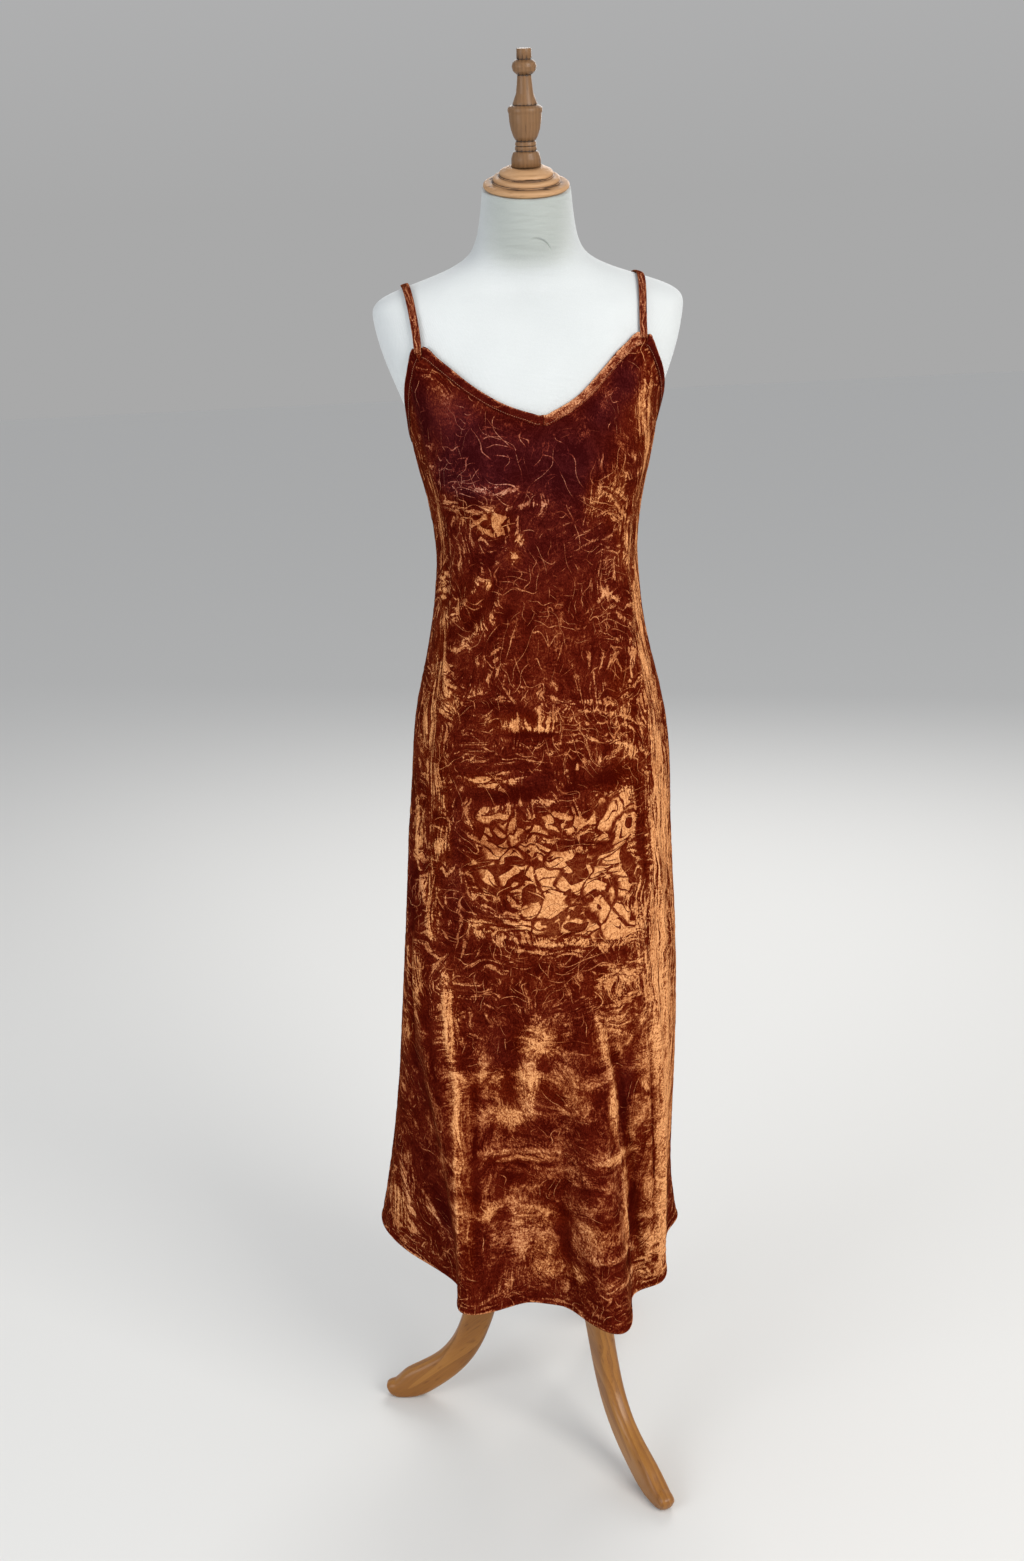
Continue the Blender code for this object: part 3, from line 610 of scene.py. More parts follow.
# Each crease runs between two places and bows aside by a share of its length. It is so wide, stands
# out by its depth, or sinks in where that is negative, and thins to nothing at its ends.
FRONT_CREASES = (
    # angle, height, far_angle, far_height, bow, width_mm, depth_mm
    (-60, 1.345, -22, 1.336, 0.05, 3.0, 0.7),
    (-52, 1.334, -12, 1.329, -0.04, 3.0, 0.8),
    (-62, 1.326, -30, 1.320, 0.05, 3.0, 0.9),
    (-44, 1.316, 2, 1.318, 0.04, 3.5, 0.8),
    (-63, 1.306, -25, 1.300, -0.06, 3.0, 0.8),
    (-30, 1.296, 8, 1.302, 0.06, 3.0, 0.7),
    (-82, 1.216, -60, 1.203, 0.06, 2.8, 1.5),
    (-83, 1.207, -60, 1.193, 0.06, 2.6, 1.6),
    (-83, 1.197, -60, 1.183, 0.06, 2.6, 1.5),
    (-82, 1.187, -62, 1.172, 0.06, 2.8, 1.3),
    (-32, 1.224, -73, 1.132, 0.10, 5.0, -3.0),
    (-40, 1.238, -77, 1.152, 0.10, 5.0, 2.6),
    (-26, 1.212, -66, 1.120, 0.08, 5.0, 2.6),
    (-20, 1.200, -58, 1.106, 0.08, 5.0, -2.6),
    (-46, 1.246, -80, 1.172, 0.10, 4.0, -2.0),
    (28, 1.214, 84, 1.150, -0.06, 3.0, 0.9),
    (52, 1.214, 22, 1.160, 0.08, 2.8, 0.8),
    (34, 1.186, 30, 1.112, 0.02, 4.0, -1.6),
    (10, 1.205, 4, 1.120, 0.05, 5.0, 1.2),
    (-8, 1.190, -16, 1.096, -0.05, 4.0, -1.1),
    (60, 1.150, 50, 1.060, 0.06, 5.0, 1.4),
    (-68, 1.120, -62, 1.040, 0.05, 6.0, 1.6),
    (-40, 1.060, -8, 1.046, 0.05, 4.0, -1.4),
    (-30, 1.038, 12, 1.030, -0.05, 4.0, 1.3),
    (-34, 1.022, 6, 1.018, 0.04, 3.0, -1.4),
    (2, 1.056, 52, 1.036, 0.10, 2.8, 0.9),
    (6, 1.044, 60, 1.012, 0.12, 2.8, 1.0),
    (10, 1.028, 64, 0.994, 0.12, 2.8, 1.0),
    (4, 1.010, 60, 0.978, 0.10, 2.8, 0.9),
    (-55, 0.946, -6, 0.956, -0.05, 8.0, -2.4),
    (-50, 0.966, -10, 0.972, -0.06, 6.0, 1.8),
    (6, 0.944, 54, 0.966, 0.06, 9.0, -2.8),
    (0, 0.972, 50, 0.984, 0.05, 5.0, 1.4),
    (-40, 0.930, 6, 0.936, 0.05, 5.0, 1.6),
    (-2, 0.885, 53, 0.872, 0.0, 2.6, -1.5),
    (-46, 0.874, -6, 0.868, 0.08, 3.5, -1.3),
    (-44, 0.900, -8, 0.896, 0.06, 3.5, -1.2),
    (52, 0.975, 48, 0.640, 0.01, 4.0, -2.2),
    (46, 0.700, 43, 0.262, 0.01, 4.5, -4.6),
    (52, 0.700, 50, 0.262, 0.01, 5.0, 4.4),
    (4, 0.862, 52, 0.812, 0.16, 3.0, 1.4),
    (-50, 0.812, 40, 0.800, -0.16, 4.0, 1.8),
    (-46, 0.800, 30, 0.778, -0.14, 3.0, -1.4),
    (-54, 0.786, 36, 0.764, -0.10, 3.0, 1.2),
    (-48, 0.770, 20, 0.742, -0.08, 3.0, 1.0),
    (-80, 0.960, -60, 0.710, -0.03, 6.0, 2.2),
    (-60, 0.740, -49, 0.530, -0.02, 6.0, 3.4),
    (-52, 0.600, -44, 0.285, 0.00, 5.0, 4.2),
    (-66, 0.700, -55, 0.500, -0.02, 7.0, -2.4),
    (-46, 0.600, -38, 0.290, 0.00, 5.0, -4.0),
    (-84, 0.880, -80, 0.620, 0.02, 6.0, 2.0),
    (-74, 0.800, -76, 0.560, -0.03, 7.0, -2.6),
    (-30, 0.700, -34, 0.500, 0.05, 9.0, -2.2),
    (-14, 0.660, -18, 0.480, -0.04, 10.0, 2.6),
    (-45, 0.470, 4, 0.466, 0.03, 3.0, 1.2),
    (-40, 0.458, -6, 0.454, -0.03, 3.0, -1.2),
    (8, 0.462, 38, 0.452, 0.04, 3.5, 1.4),
    (12, 0.446, 36, 0.440, 0.02, 3.0, -1.2),
    (14, 0.680, 25, 0.500, 0.04, 5.0, 3.4),
    (24, 0.560, 31, 0.262, -0.02, 5.0, 4.4),
    (24, 0.640, 32, 0.480, 0.03, 6.0, -3.0),
    (31, 0.560, 37, 0.270, 0.00, 6.0, -4.4),
    (60, 0.900, 60, 0.560, 0.02, 7.0, 2.4),
    (66, 0.700, 62, 0.330, -0.02, 7.0, 2.2),
    (-30, 0.420, -26, 0.290, 0.04, 8.0, 2.0),
    (-4, 0.430, 0, 0.280, -0.04, 8.0, -2.0),
    (4, 0.330, 38, 0.300, 0.10, 4.0, 1.6),
    (6, 0.314, 36, 0.282, 0.10, 4.0, -1.4),
    (8, 0.296, 34, 0.268, 0.10, 3.5, 1.4),
    (-88, 0.420, -78, 0.300, 0.10, 6.0, 2.2),
    (-80, 0.400, -62, 0.310, 0.14, 4.0, 1.6),
    (-76, 0.370, -56, 0.300, 0.14, 3.5, 1.2),
)
BACK_CREASES = (
    # angle, height, far_angle, far_height, bow, width_mm, depth_mm
    (110, 1.330, 168, 1.318, 0.06, 4.0, 1.0),
    (120, 1.300, 196, 1.296, -0.05, 4.0, 1.1),
    (150, 1.276, 236, 1.284, 0.06, 5.0, 1.3),
    (100, 1.252, 150, 1.232, 0.08, 4.0, 1.3),
    (98, 1.222, 140, 1.204, 0.06, 3.0, 1.3),
    (262, 1.226, 214, 1.208, -0.06, 3.0, 1.4),
    (264, 1.212, 222, 1.188, -0.08, 3.0, 1.3),
    (262, 1.196, 208, 1.166, -0.08, 4.0, -1.5),
    (160, 1.236, 206, 1.232, 0.05, 5.0, -1.6),
    (150, 1.206, 214, 1.202, -0.05, 6.0, 1.8),
    (156, 1.180, 204, 1.182, 0.06, 5.0, -1.5),
    (120, 1.180, 150, 1.090, 0.08, 7.0, 1.8),
    (236, 1.180, 206, 1.080, -0.08, 7.0, 1.9),
    (128, 1.060, 178, 1.040, 0.06, 6.0, 1.6),
    (184, 1.036, 238, 1.052, 0.05, 5.0, -1.6),
    (130, 0.990, 226, 0.984, 0.08, 7.0, 2.0),
    (110, 0.950, 172, 0.930, -0.05, 8.0, -2.2),
    (190, 0.940, 250, 0.962, 0.05, 7.0, 2.0),
    (100, 1.020, 104, 0.700, 0.03, 8.0, 2.4),
    (112, 0.900, 116, 0.560, -0.03, 9.0, -2.6),
    (128, 0.860, 136, 0.480, 0.03, 7.0, 2.4),
    (146, 0.800, 143, 0.300, 0.02, 8.0, 2.4),
    (158, 0.840, 160, 0.420, -0.03, 10.0, -3.0),
    (176, 0.840, 181, 0.330, 0.02, 7.0, 2.4),
    (194, 0.820, 199, 0.400, 0.02, 9.0, -2.8),
    (208, 0.800, 218, 0.340, -0.02, 7.0, 2.4),
    (230, 0.860, 236, 0.460, 0.02, 9.0, -2.4),
    (244, 0.900, 250, 0.420, 0.03, 7.0, 2.2),
    (258, 0.960, 262, 0.560, -0.02, 7.0, 2.4),
    (104, 0.480, 110, 0.310, 0.05, 6.0, 1.8),
    (120, 0.440, 158, 0.430, 0.04, 3.5, 1.3),
    (186, 0.452, 214, 0.440, 0.06, 3.5, 1.3),
    (150, 0.330, 190, 0.306, 0.12, 4.0, 1.5),
    (206, 0.330, 246, 0.310, 0.12, 4.0, 1.5),
    (130, 0.340, 150, 0.300, 0.12, 4.0, 1.4),
)


def lay_creases(creases, across, up, spot_of):
    """How far the creases move the cloth, in metres, and their painted light and shade, lighter on ridges
    and darker in troughs.
    """
    total, light = np.zeros(across.shape), np.zeros(across.shape)
    shares = np.linspace(0, 1, 15)
    for angle, height, far_angle, far_height, bow, width_mm, depth_mm in creases:
        width, depth = width_mm / 1000, depth_mm / 1000
        angles = angle + (far_angle - angle) * shares
        heights = height + (far_height - height) * shares
        route = np.array([spot_of(*place) for place in zip(angles, heights)])
        along = route[-1] - route[0]
        route += np.sin(np.pi * shares)[:, None] * np.array([-along[1], along[0]]) * bow
        low, high = route.min(axis=0) - 3.5 * width, route.max(axis=0) + 3.5 * width
        near = (across > low[0]) & (across < high[0]) & (up > low[1]) & (up < high[1])
        points = np.column_stack([across[near], up[near]])
        best, where = np.full(len(points), 1e9), np.zeros(len(points))
        for i, (start, end) in enumerate(zip(route, route[1:])):
            way = end - start
            t = np.clip((points - start) @ way / (way @ way), 0, 1)
            gone = np.linalg.norm(points - start - t[:, None] * way, axis=1)
            closer = gone < best
            best[closer] = gone[closer]
            where[closer] = (i + t[closer]) / (len(route) - 1)
        taper = np.sin(np.pi * np.clip(where, 0, 1)) ** 0.6
        form = np.exp(-((best / width) ** 2)) * taper
        total[near] += depth * form
        light[near] += np.sign(depth) * form
    return total, light


# Where the pile lies light or dark, in soft round patches: the cracked mosaic of pressed pile, the
# upright or level streaks it is drawn out in, the fine bright hairs, warm against wine red, and
# painted sheen, a smooth painted highlight on the bust and waist.
# What a row leaves out at its end is 0.
PATCH_CHANNELS = ("tone", "mosaic", "streak", "hairs", "warmth", "soft", "painted_sheen")
# The light, warm patches with upright streaks near the sides, at about 46 to 80 and -62 to -86 degrees, are
# partly the pile's streaks and partly painted sheen where the cloth turns away.
FRONT_PATCHES = (
    # angle, height, half_across, half_up, tone, mosaic, streak, hairs, warmth, soft, painted_sheen
    (0, 0.460, 0.320, 0.230, 0.04, 0.0, 0.0, 0.0, 0.0, 0.9),
    (0, 1.400, 0.200, 0.070, 0.00, 0.0, 0.0, 0.1, 0.0, 0.9),
    (0, 1.160, 0.060, 0.060, 0.00, 0.0, 0.0, 0.2, 0.0, 0.6),
    (0, 1.290, 0.130, 0.090, -0.05, 0.0, 0.0, 0.0, -0.3),
    (-66, 1.410, 0.034, 0.050, -0.14, 0.0, 0.0, 0.0, -0.6),
    (48, 1.440, 0.030, 0.026, -0.10, 0.0, 0.0, 0.0, -0.6),
    (-48, 1.410, 0.036, 0.028, -0.26, 0.0, 0.0, 0.5, -0.6, 0.7, 0.20),
    (-36, 1.372, 0.060, 0.040, -0.16, 0.0, 0.0, 0.6, -0.7),
    (-42, 1.345, 0.050, 0.020, -0.06, 0.0, 0.0, 0.8, -0.8),
    (-42, 1.326, 0.050, 0.012, -0.02, 0.0, -0.6, 0.9, -0.6),
    (10, 1.360, 0.060, 0.050, -0.14, 0.0, 0.0, 0.5, -0.5),
    (34, 1.408, 0.030, 0.024, -0.16, 0.0, 0.0, 0.6, -0.5),
    (58, 1.410, 0.022, 0.050, 0.14, 0.0, 0.7, 0.4, 0.3),
    (64, 1.350, 0.030, 0.050, 0.24, 0.0, 0.8, 0.4, 0.5),
    (76, 1.330, 0.026, 0.060, 0.20, 0.0, 1.0, 0.2, 0.6),
    (63, 1.260, 0.030, 0.050, 0.22, 0.0, 0.8, 0.3, 0.5),
    (76, 1.230, 0.026, 0.060, 0.20, 0.0, 1.0, 0.2, 0.6),
    (70, 1.140, 0.032, 0.060, 0.26, 0.0, 0.9, 0.3, 0.7),
    (66, 1.050, 0.028, 0.060, 0.24, 0.0, 0.9, 0.4, 0.6),
    (46, 1.050, 0.022, 0.050, 0.04, 0.0, 0.4, 0.5, 0.4),
    (46, 0.960, 0.024, 0.060, 0.12, 0.0, 0.6, 0.4, 0.4),
    (66, 0.950, 0.036, 0.070, 0.22, 0.0, 0.9, 0.2, 0.8),
    (66, 0.860, 0.038, 0.070, 0.30, 0.0, 0.9, 0.0, 0.9),
    (56, 0.750, 0.044, 0.070, 0.24, 0.0, 0.6, 0.3, 0.8),
    (54, 0.660, 0.046, 0.070, 0.24, 0.1, 0.4, 0.3, 0.7),
    (56, 0.560, 0.050, 0.080, 0.28, 0.1, 0.3, 0.4, 0.6),
    (54, 0.440, 0.050, 0.080, 0.30, 0.1, 0.3, 0.4, 0.6),
    (51, 0.320, 0.048, 0.070, 0.28, 0.1, 0.3, 0.4, 0.6),
    (80, 0.700, 0.030, 0.300, 0.16, 0.1, 0.8, 0.1, 0.6),
    (-33, 1.280, 0.026, 0.018, 0.28, 0.9, 0.0, 0.4, 0.6),
    (-50, 1.290, 0.016, 0.016, 0.08, 0.4, 0.0, 0.5, 0.2),
    (-18, 1.262, 0.010, 0.008, 0.30, 0.5, 0.0, 0.2, 0.3),
    (-22, 1.240, 0.010, 0.010, 0.24, 0.5, 0.0, 0.2, 0.3),
    (-40, 1.206, 0.007, 0.006, 0.34, 0.3, 0.0, 0.0, 0.4),
    (29, 1.308, 0.014, 0.034, 0.20, 0.3, 0.5, 0.4, 0.4),
    (42, 1.310, 0.022, 0.040, 0.16, 0.2, 0.4, 0.6, 0.5),
    (-70, 1.296, 0.018, 0.060, 0.18, 0.2, 0.8, 0.4, 0.2),
    (-74, 1.196, 0.014, 0.026, 0.18, 0.0, -0.8, 0.1, 0.4),
    (-4, 1.200, 0.060, 0.050, -0.16, 0.0, 0.3, 0.8, 0.0, 0.3, 0.06),
    (-2, 1.130, 0.050, 0.040, -0.12, 0.0, 0.4, 0.7, 0.0, 0.2, 0.06),
    (40, 1.180, 0.030, 0.060, 0.04, 0.0, 0.3, 0.7, 0.0),
    (-54, 1.180, 0.040, 0.030, -0.02, 0.0, 0.0, 0.2, 0.1),
    (-38, 1.110, 0.040, 0.030, 0.05, 0.0, 0.1, 0.3, 0.0),
    (-70, 1.110, 0.024, 0.050, 0.20, 0.1, 0.8, 0.2, 0.4),
    (-60, 1.060, 0.018, 0.020, 0.30, 0.5, 0.2, 0.2, 0.5),
    (-72, 1.020, 0.026, 0.050, 0.15, 0.1, 0.7, 0.4, 0.4),
    (-66, 0.960, 0.026, 0.060, 0.08, 0.1, 0.7, 0.4, 0.4),
    (-62, 0.880, 0.018, 0.030, 0.18, 0.1, 0.8, 0.2, 0.4),
    (-16, 1.038, 0.050, 0.011, 0.16, 0.3, 0.2, 0.3, 0.4),
    (-46, 1.010, 0.026, 0.020, 0.02, 0.1, 0.0, 0.6, 0.0),
    (26, 1.014, 0.060, 0.040, -0.03, 0.0, -0.3, 1.0, 0.1),
    (-40, 0.966, 0.028, 0.009, 0.10, 0.0, -0.9, 0.3, 0.4),
    (-12, 0.966, 0.026, 0.012, -0.22, 0.0, -0.9, 0.0, -0.1),
    (26, 0.952, 0.044, 0.009, -0.18, 0.0, -0.9, 0.0, 0.0),
    (-34, 0.906, 0.034, 0.020, 0.12, 1.0, -0.6, 0.0, 0.5),
    (0, 0.908, 0.036, 0.016, 0.34, 1.0, 0.0, 0.0, 0.6),
    (36, 0.910, 0.038, 0.034, 0.50, 1.0, 0.0, 0.0, 0.7),
    (-20, 0.868, 0.050, 0.018, 0.08, 1.0, -0.4, 0.0, 0.5),
    (-36, 0.846, 0.034, 0.030, 0.38, 1.0, 0.1, 0.0, 0.6),
    (-6, 0.836, 0.036, 0.036, 0.38, 1.0, 0.0, 0.0, 0.6),
    (28, 0.838, 0.054, 0.036, 0.46, 1.0, 0.1, 0.0, 0.6),
    (-8, 0.788, 0.036, 0.028, 0.50, 0.9, 0.1, 0.0, 0.7),
    (28, 0.772, 0.050, 0.030, 0.44, 0.8, 0.2, 0.0, 0.6),
    (-40, 0.776, 0.026, 0.012, 0.22, 0.5, -0.5, 0.0, 0.4),
    (-54, 0.890, 0.008, 0.060, -0.04, 0.0, 0.2, 0.2, -0.1),
    (-54, 0.810, 0.014, 0.040, -0.06, 0.0, 0.2, 0.4, -0.1),
    (49, 0.910, 0.005, 0.060, -0.34, 0.0, 0.2, 0.0, -0.1),
    (-76, 0.890, 0.014, 0.040, 0.20, 0.1, 0.9, 0.1, 0.5),
    (-66, 0.810, 0.012, 0.050, 0.14, 0.1, 0.9, 0.1, 0.5),
    (-80, 0.800, 0.020, 0.060, -0.16, 0.0, 0.2, 0.4, -0.2),
    (-12, 0.744, 0.090, 0.018, -0.04, 0.0, -0.7, 0.7, 0.1),
    (-10, 0.704, 0.080, 0.024, -0.08, 0.0, -0.2, 0.7, 0.1),
    (30, 0.690, 0.030, 0.026, 0.22, 0.2, 0.0, 0.3, 0.5),
    (-55, 0.650, 0.015, 0.060, 0.14, 0.1, 0.6, 0.5, 0.3),
    (-14, 0.622, 0.030, 0.020, 0.16, 0.2, 0.0, 0.3, 0.5),
    (-34, 0.610, 0.018, 0.040, -0.10, 0.0, 0.4, 0.3, -0.1),
    (14, 0.620, 0.022, 0.040, -0.10, 0.0, 0.3, 0.2, 0.0),
    (26, 0.620, 0.030, 0.034, 0.20, 0.1, 0.2, 0.2, 0.4),
    (24, 0.520, 0.012, 0.040, 0.24, 0.0, 0.4, 0.1, 0.4),
    (-30, 0.566, 0.050, 0.020, 0.18, 0.2, 0.0, 0.3, 0.4),
    (2, 0.552, 0.030, 0.026, 0.08, 0.1, 0.0, 0.3, 0.2),
    (-48, 0.530, 0.018, 0.040, 0.06, 0.1, 0.4, 0.5, 0.3),
    (34, 0.540, 0.014, 0.045, -0.20, 0.0, 0.2, 0.1, -0.2),
    (-30, 0.520, 0.024, 0.024, 0.22, 0.0, 0.0, 0.3, 0.3),
    (-8, 0.500, 0.060, 0.018, -0.08, 0.0, -0.5, 0.7, 0.0),
    (-26, 0.462, 0.050, 0.008, 0.12, 0.0, -1.0, 0.6, 0.2),
    (22, 0.456, 0.030, 0.008, 0.16, 0.0, -1.0, 0.5, 0.2),
    (-20, 0.420, 0.060, 0.024, -0.04, 0.0, 0.0, 0.3, 0.1),
    (-38, 0.392, 0.020, 0.014, 0.20, 0.1, 0.0, 0.3, 0.3),
    (-14, 0.380, 0.036, 0.016, 0.18, 0.1, 0.0, 0.3, 0.3),
    (12, 0.366, 0.030, 0.018, 0.14, 0.1, 0.0, 0.3, 0.2),
    (-14, 0.318, 0.022, 0.026, 0.16, 0.2, 0.0, 0.1, 0.5),
    (0, 0.300, 0.020, 0.014, 0.12, 0.0, 0.0, 0.2, 0.3),
    (14, 0.318, 0.030, 0.026, 0.02, 0.0, -0.4, 0.8, 0.0),
    (-40, 0.320, 0.024, 0.030, -0.08, 0.0, 0.2, 0.2, 0.0),
    (-74, 0.560, 0.024, 0.060, -0.14, 0.0, -0.3, 0.4, -0.1),
    (-82, 0.610, 0.020, 0.030, 0.20, 0.2, 0.0, 0.2, 0.3),
    (-72, 0.690, 0.024, 0.045, 0.20, 0.2, 0.3, 0.3, 0.3),
    (-72, 0.430, 0.030, 0.040, -0.10, 0.0, 0.0, 0.2, -0.1),
    (-62, 0.360, 0.020, 0.040, -0.22, 0.0, 0.3, 0.3, -0.2),
    (-86, 0.340, 0.024, 0.040, 0.16, 0.0, 0.8, 0.4, 0.3),
    (-45, 0.420, 0.010, 0.100, 0.08, 0.0, 0.6, 0.3, 0.4),
    (29, 0.400, 0.010, 0.110, 0.16, 0.0, 0.6, 0.1, 0.4),
    (37, 0.400, 0.010, 0.100, -0.18, 0.0, 0.3, 0.1, -0.1),
)
# The light, warm patches with upright streaks near the sides, at about 104 to 128 and 258 degrees, are
# partly the pile's streaks and partly painted sheen where the cloth turns away.
BACK_PATCHES = (
    # angle, height, half_across, half_up, tone, mosaic, streak, hairs, warmth, soft, painted_sheen
    (180, 0.460, 0.320, 0.230, 0.00, 0.0, 0.0, 0.0, 0.0, 0.9),
    (180, 1.320, 0.120, 0.040, 0.00, 0.0, 0.0, -0.2, 0.0, 0.8),
    (104, 1.300, 0.026, 0.060, 0.26, 0.1, 0.8, 0.1, 0.5),
    (128, 1.340, 0.030, 0.030, -0.12, 0.0, 0.0, 0.4, -0.5),
    (170, 1.330, 0.050, 0.020, 0.04, 0.1, -0.4, 0.6, -0.2),
    (208, 1.300, 0.040, 0.030, 0.24, 0.6, 0.0, 0.2, 0.3),
    (238, 1.330, 0.030, 0.040, -0.10, 0.0, 0.0, 0.4, -0.4),
    (258, 1.290, 0.024, 0.060, 0.22, 0.1, 0.8, 0.1, 0.5),
    (150, 1.260, 0.040, 0.030, 0.20, 0.4, 0.0, 0.4, 0.3),
    (186, 1.216, 0.050, 0.030, -0.14, 0.0, -0.5, 0.7, -0.3),
    (120, 1.180, 0.030, 0.060, 0.18, 0.2, 0.6, 0.3, 0.3),
    (250, 1.160, 0.030, 0.050, 0.24, 0.2, 0.6, 0.2, 0.4),
    (214, 1.120, 0.030, 0.060, -0.10, 0.0, 0.2, 0.6, -0.1),
    (160, 1.110, 0.050, 0.050, 0.06, 0.3, 0.0, 0.6, 0.1),
    (190, 1.030, 0.060, 0.030, 0.24, 0.8, 0.0, 0.2, 0.4),
    (128, 1.020, 0.030, 0.060, 0.24, 0.1, 0.8, 0.1, 0.4),
    (240, 1.010, 0.030, 0.050, -0.10, 0.1, 0.2, 0.5, 0.0),
    (160, 0.940, 0.060, 0.014, -0.16, 0.0, -0.9, 0.2, -0.1),
    (214, 0.930, 0.050, 0.050, 0.26, 0.9, 0.0, 0.1, 0.5),
    (146, 0.860, 0.050, 0.050, 0.26, 0.9, 0.0, 0.1, 0.5),
    (186, 0.840, 0.034, 0.050, -0.12, 0.1, 0.0, 0.8, -0.1),
    (106, 0.860, 0.026, 0.110, 0.26, 0.1, 0.9, 0.0, 0.5),
    (258, 0.840, 0.024, 0.110, 0.24, 0.1, 0.9, 0.0, 0.4),
    (232, 0.760, 0.040, 0.050, -0.08, 0.1, 0.0, 0.6, 0.0),
    (170, 0.720, 0.060, 0.050, 0.20, 0.2, 0.0, 0.3, 0.4),
    (124, 0.690, 0.030, 0.060, -0.12, 0.0, 0.2, 0.5, -0.1),
    (206, 0.640, 0.040, 0.060, 0.24, 0.2, 0.2, 0.3, 0.4),
    (104, 0.600, 0.030, 0.080, 0.26, 0.1, 0.8, 0.1, 0.4),
    (146, 0.570, 0.030, 0.080, 0.22, 0.1, 0.6, 0.2, 0.4),
    (240, 0.560, 0.030, 0.060, 0.16, 0.2, 0.1, 0.4, 0.3),
    (262, 0.500, 0.024, 0.060, -0.12, 0.0, -0.3, 0.4, -0.1),
    (178, 0.520, 0.030, 0.060, -0.12, 0.0, 0.2, 0.5, -0.1),
    (124, 0.450, 0.040, 0.016, 0.16, 0.0, -0.8, 0.6, 0.2),
    (210, 0.446, 0.040, 0.014, 0.16, 0.0, -0.8, 0.6, 0.2),
    (158, 0.400, 0.030, 0.040, 0.18, 0.1, 0.0, 0.3, 0.3),
    (236, 0.390, 0.030, 0.040, 0.20, 0.1, 0.0, 0.3, 0.3),
    (106, 0.380, 0.030, 0.050, 0.14, 0.1, 0.6, 0.3, 0.2),
    (186, 0.330, 0.040, 0.024, 0.22, 0.2, 0.0, 0.3, 0.3),
    (138, 0.320, 0.030, 0.026, -0.10, 0.0, -0.3, 0.7, 0.0),
    (214, 0.320, 0.030, 0.026, -0.08, 0.0, -0.3, 0.7, 0.0),
)


def lay_patches(patches, across, up, spot_of):
    """The channels over the cloth, each the sum of what its patches give."""
    channels = {name: np.zeros(across.shape) for name in PATCH_CHANNELS}
    for angle, height, half_across, half_up, *amounts in patches:
        centre = spot_of(angle, height)
        away = ((across - centre[0]) / half_across) ** 2 + ((up - centre[1]) / half_up) ** 2
        share = np.exp(-(away**1.4))
        for name, amount in zip(PATCH_CHANNELS, amounts):
            channels[name] += amount * share
    return channels


PILE_INPUTS = ("Tone", "Mosaic", "Streak", "Hairs", "Soft", "Painted_Sheen")
HAIR = 0.0006
HAIR_RUNS = (
    # how much a run's hairs cross the cloth's width and its height, their spacing, and where they start
    (0.1, 1.0, 0.011, 3.3),
    (1.0, 0.1, 0.014, 7.7),
    (0.7, 0.7, 0.017, 11.1),
    (-0.7, 0.7, 0.017, 15.9),
)


def mix(tree, first, second, share):
    return add(tree, first, times(tree, add(tree, second, (first, -1.0)), share))


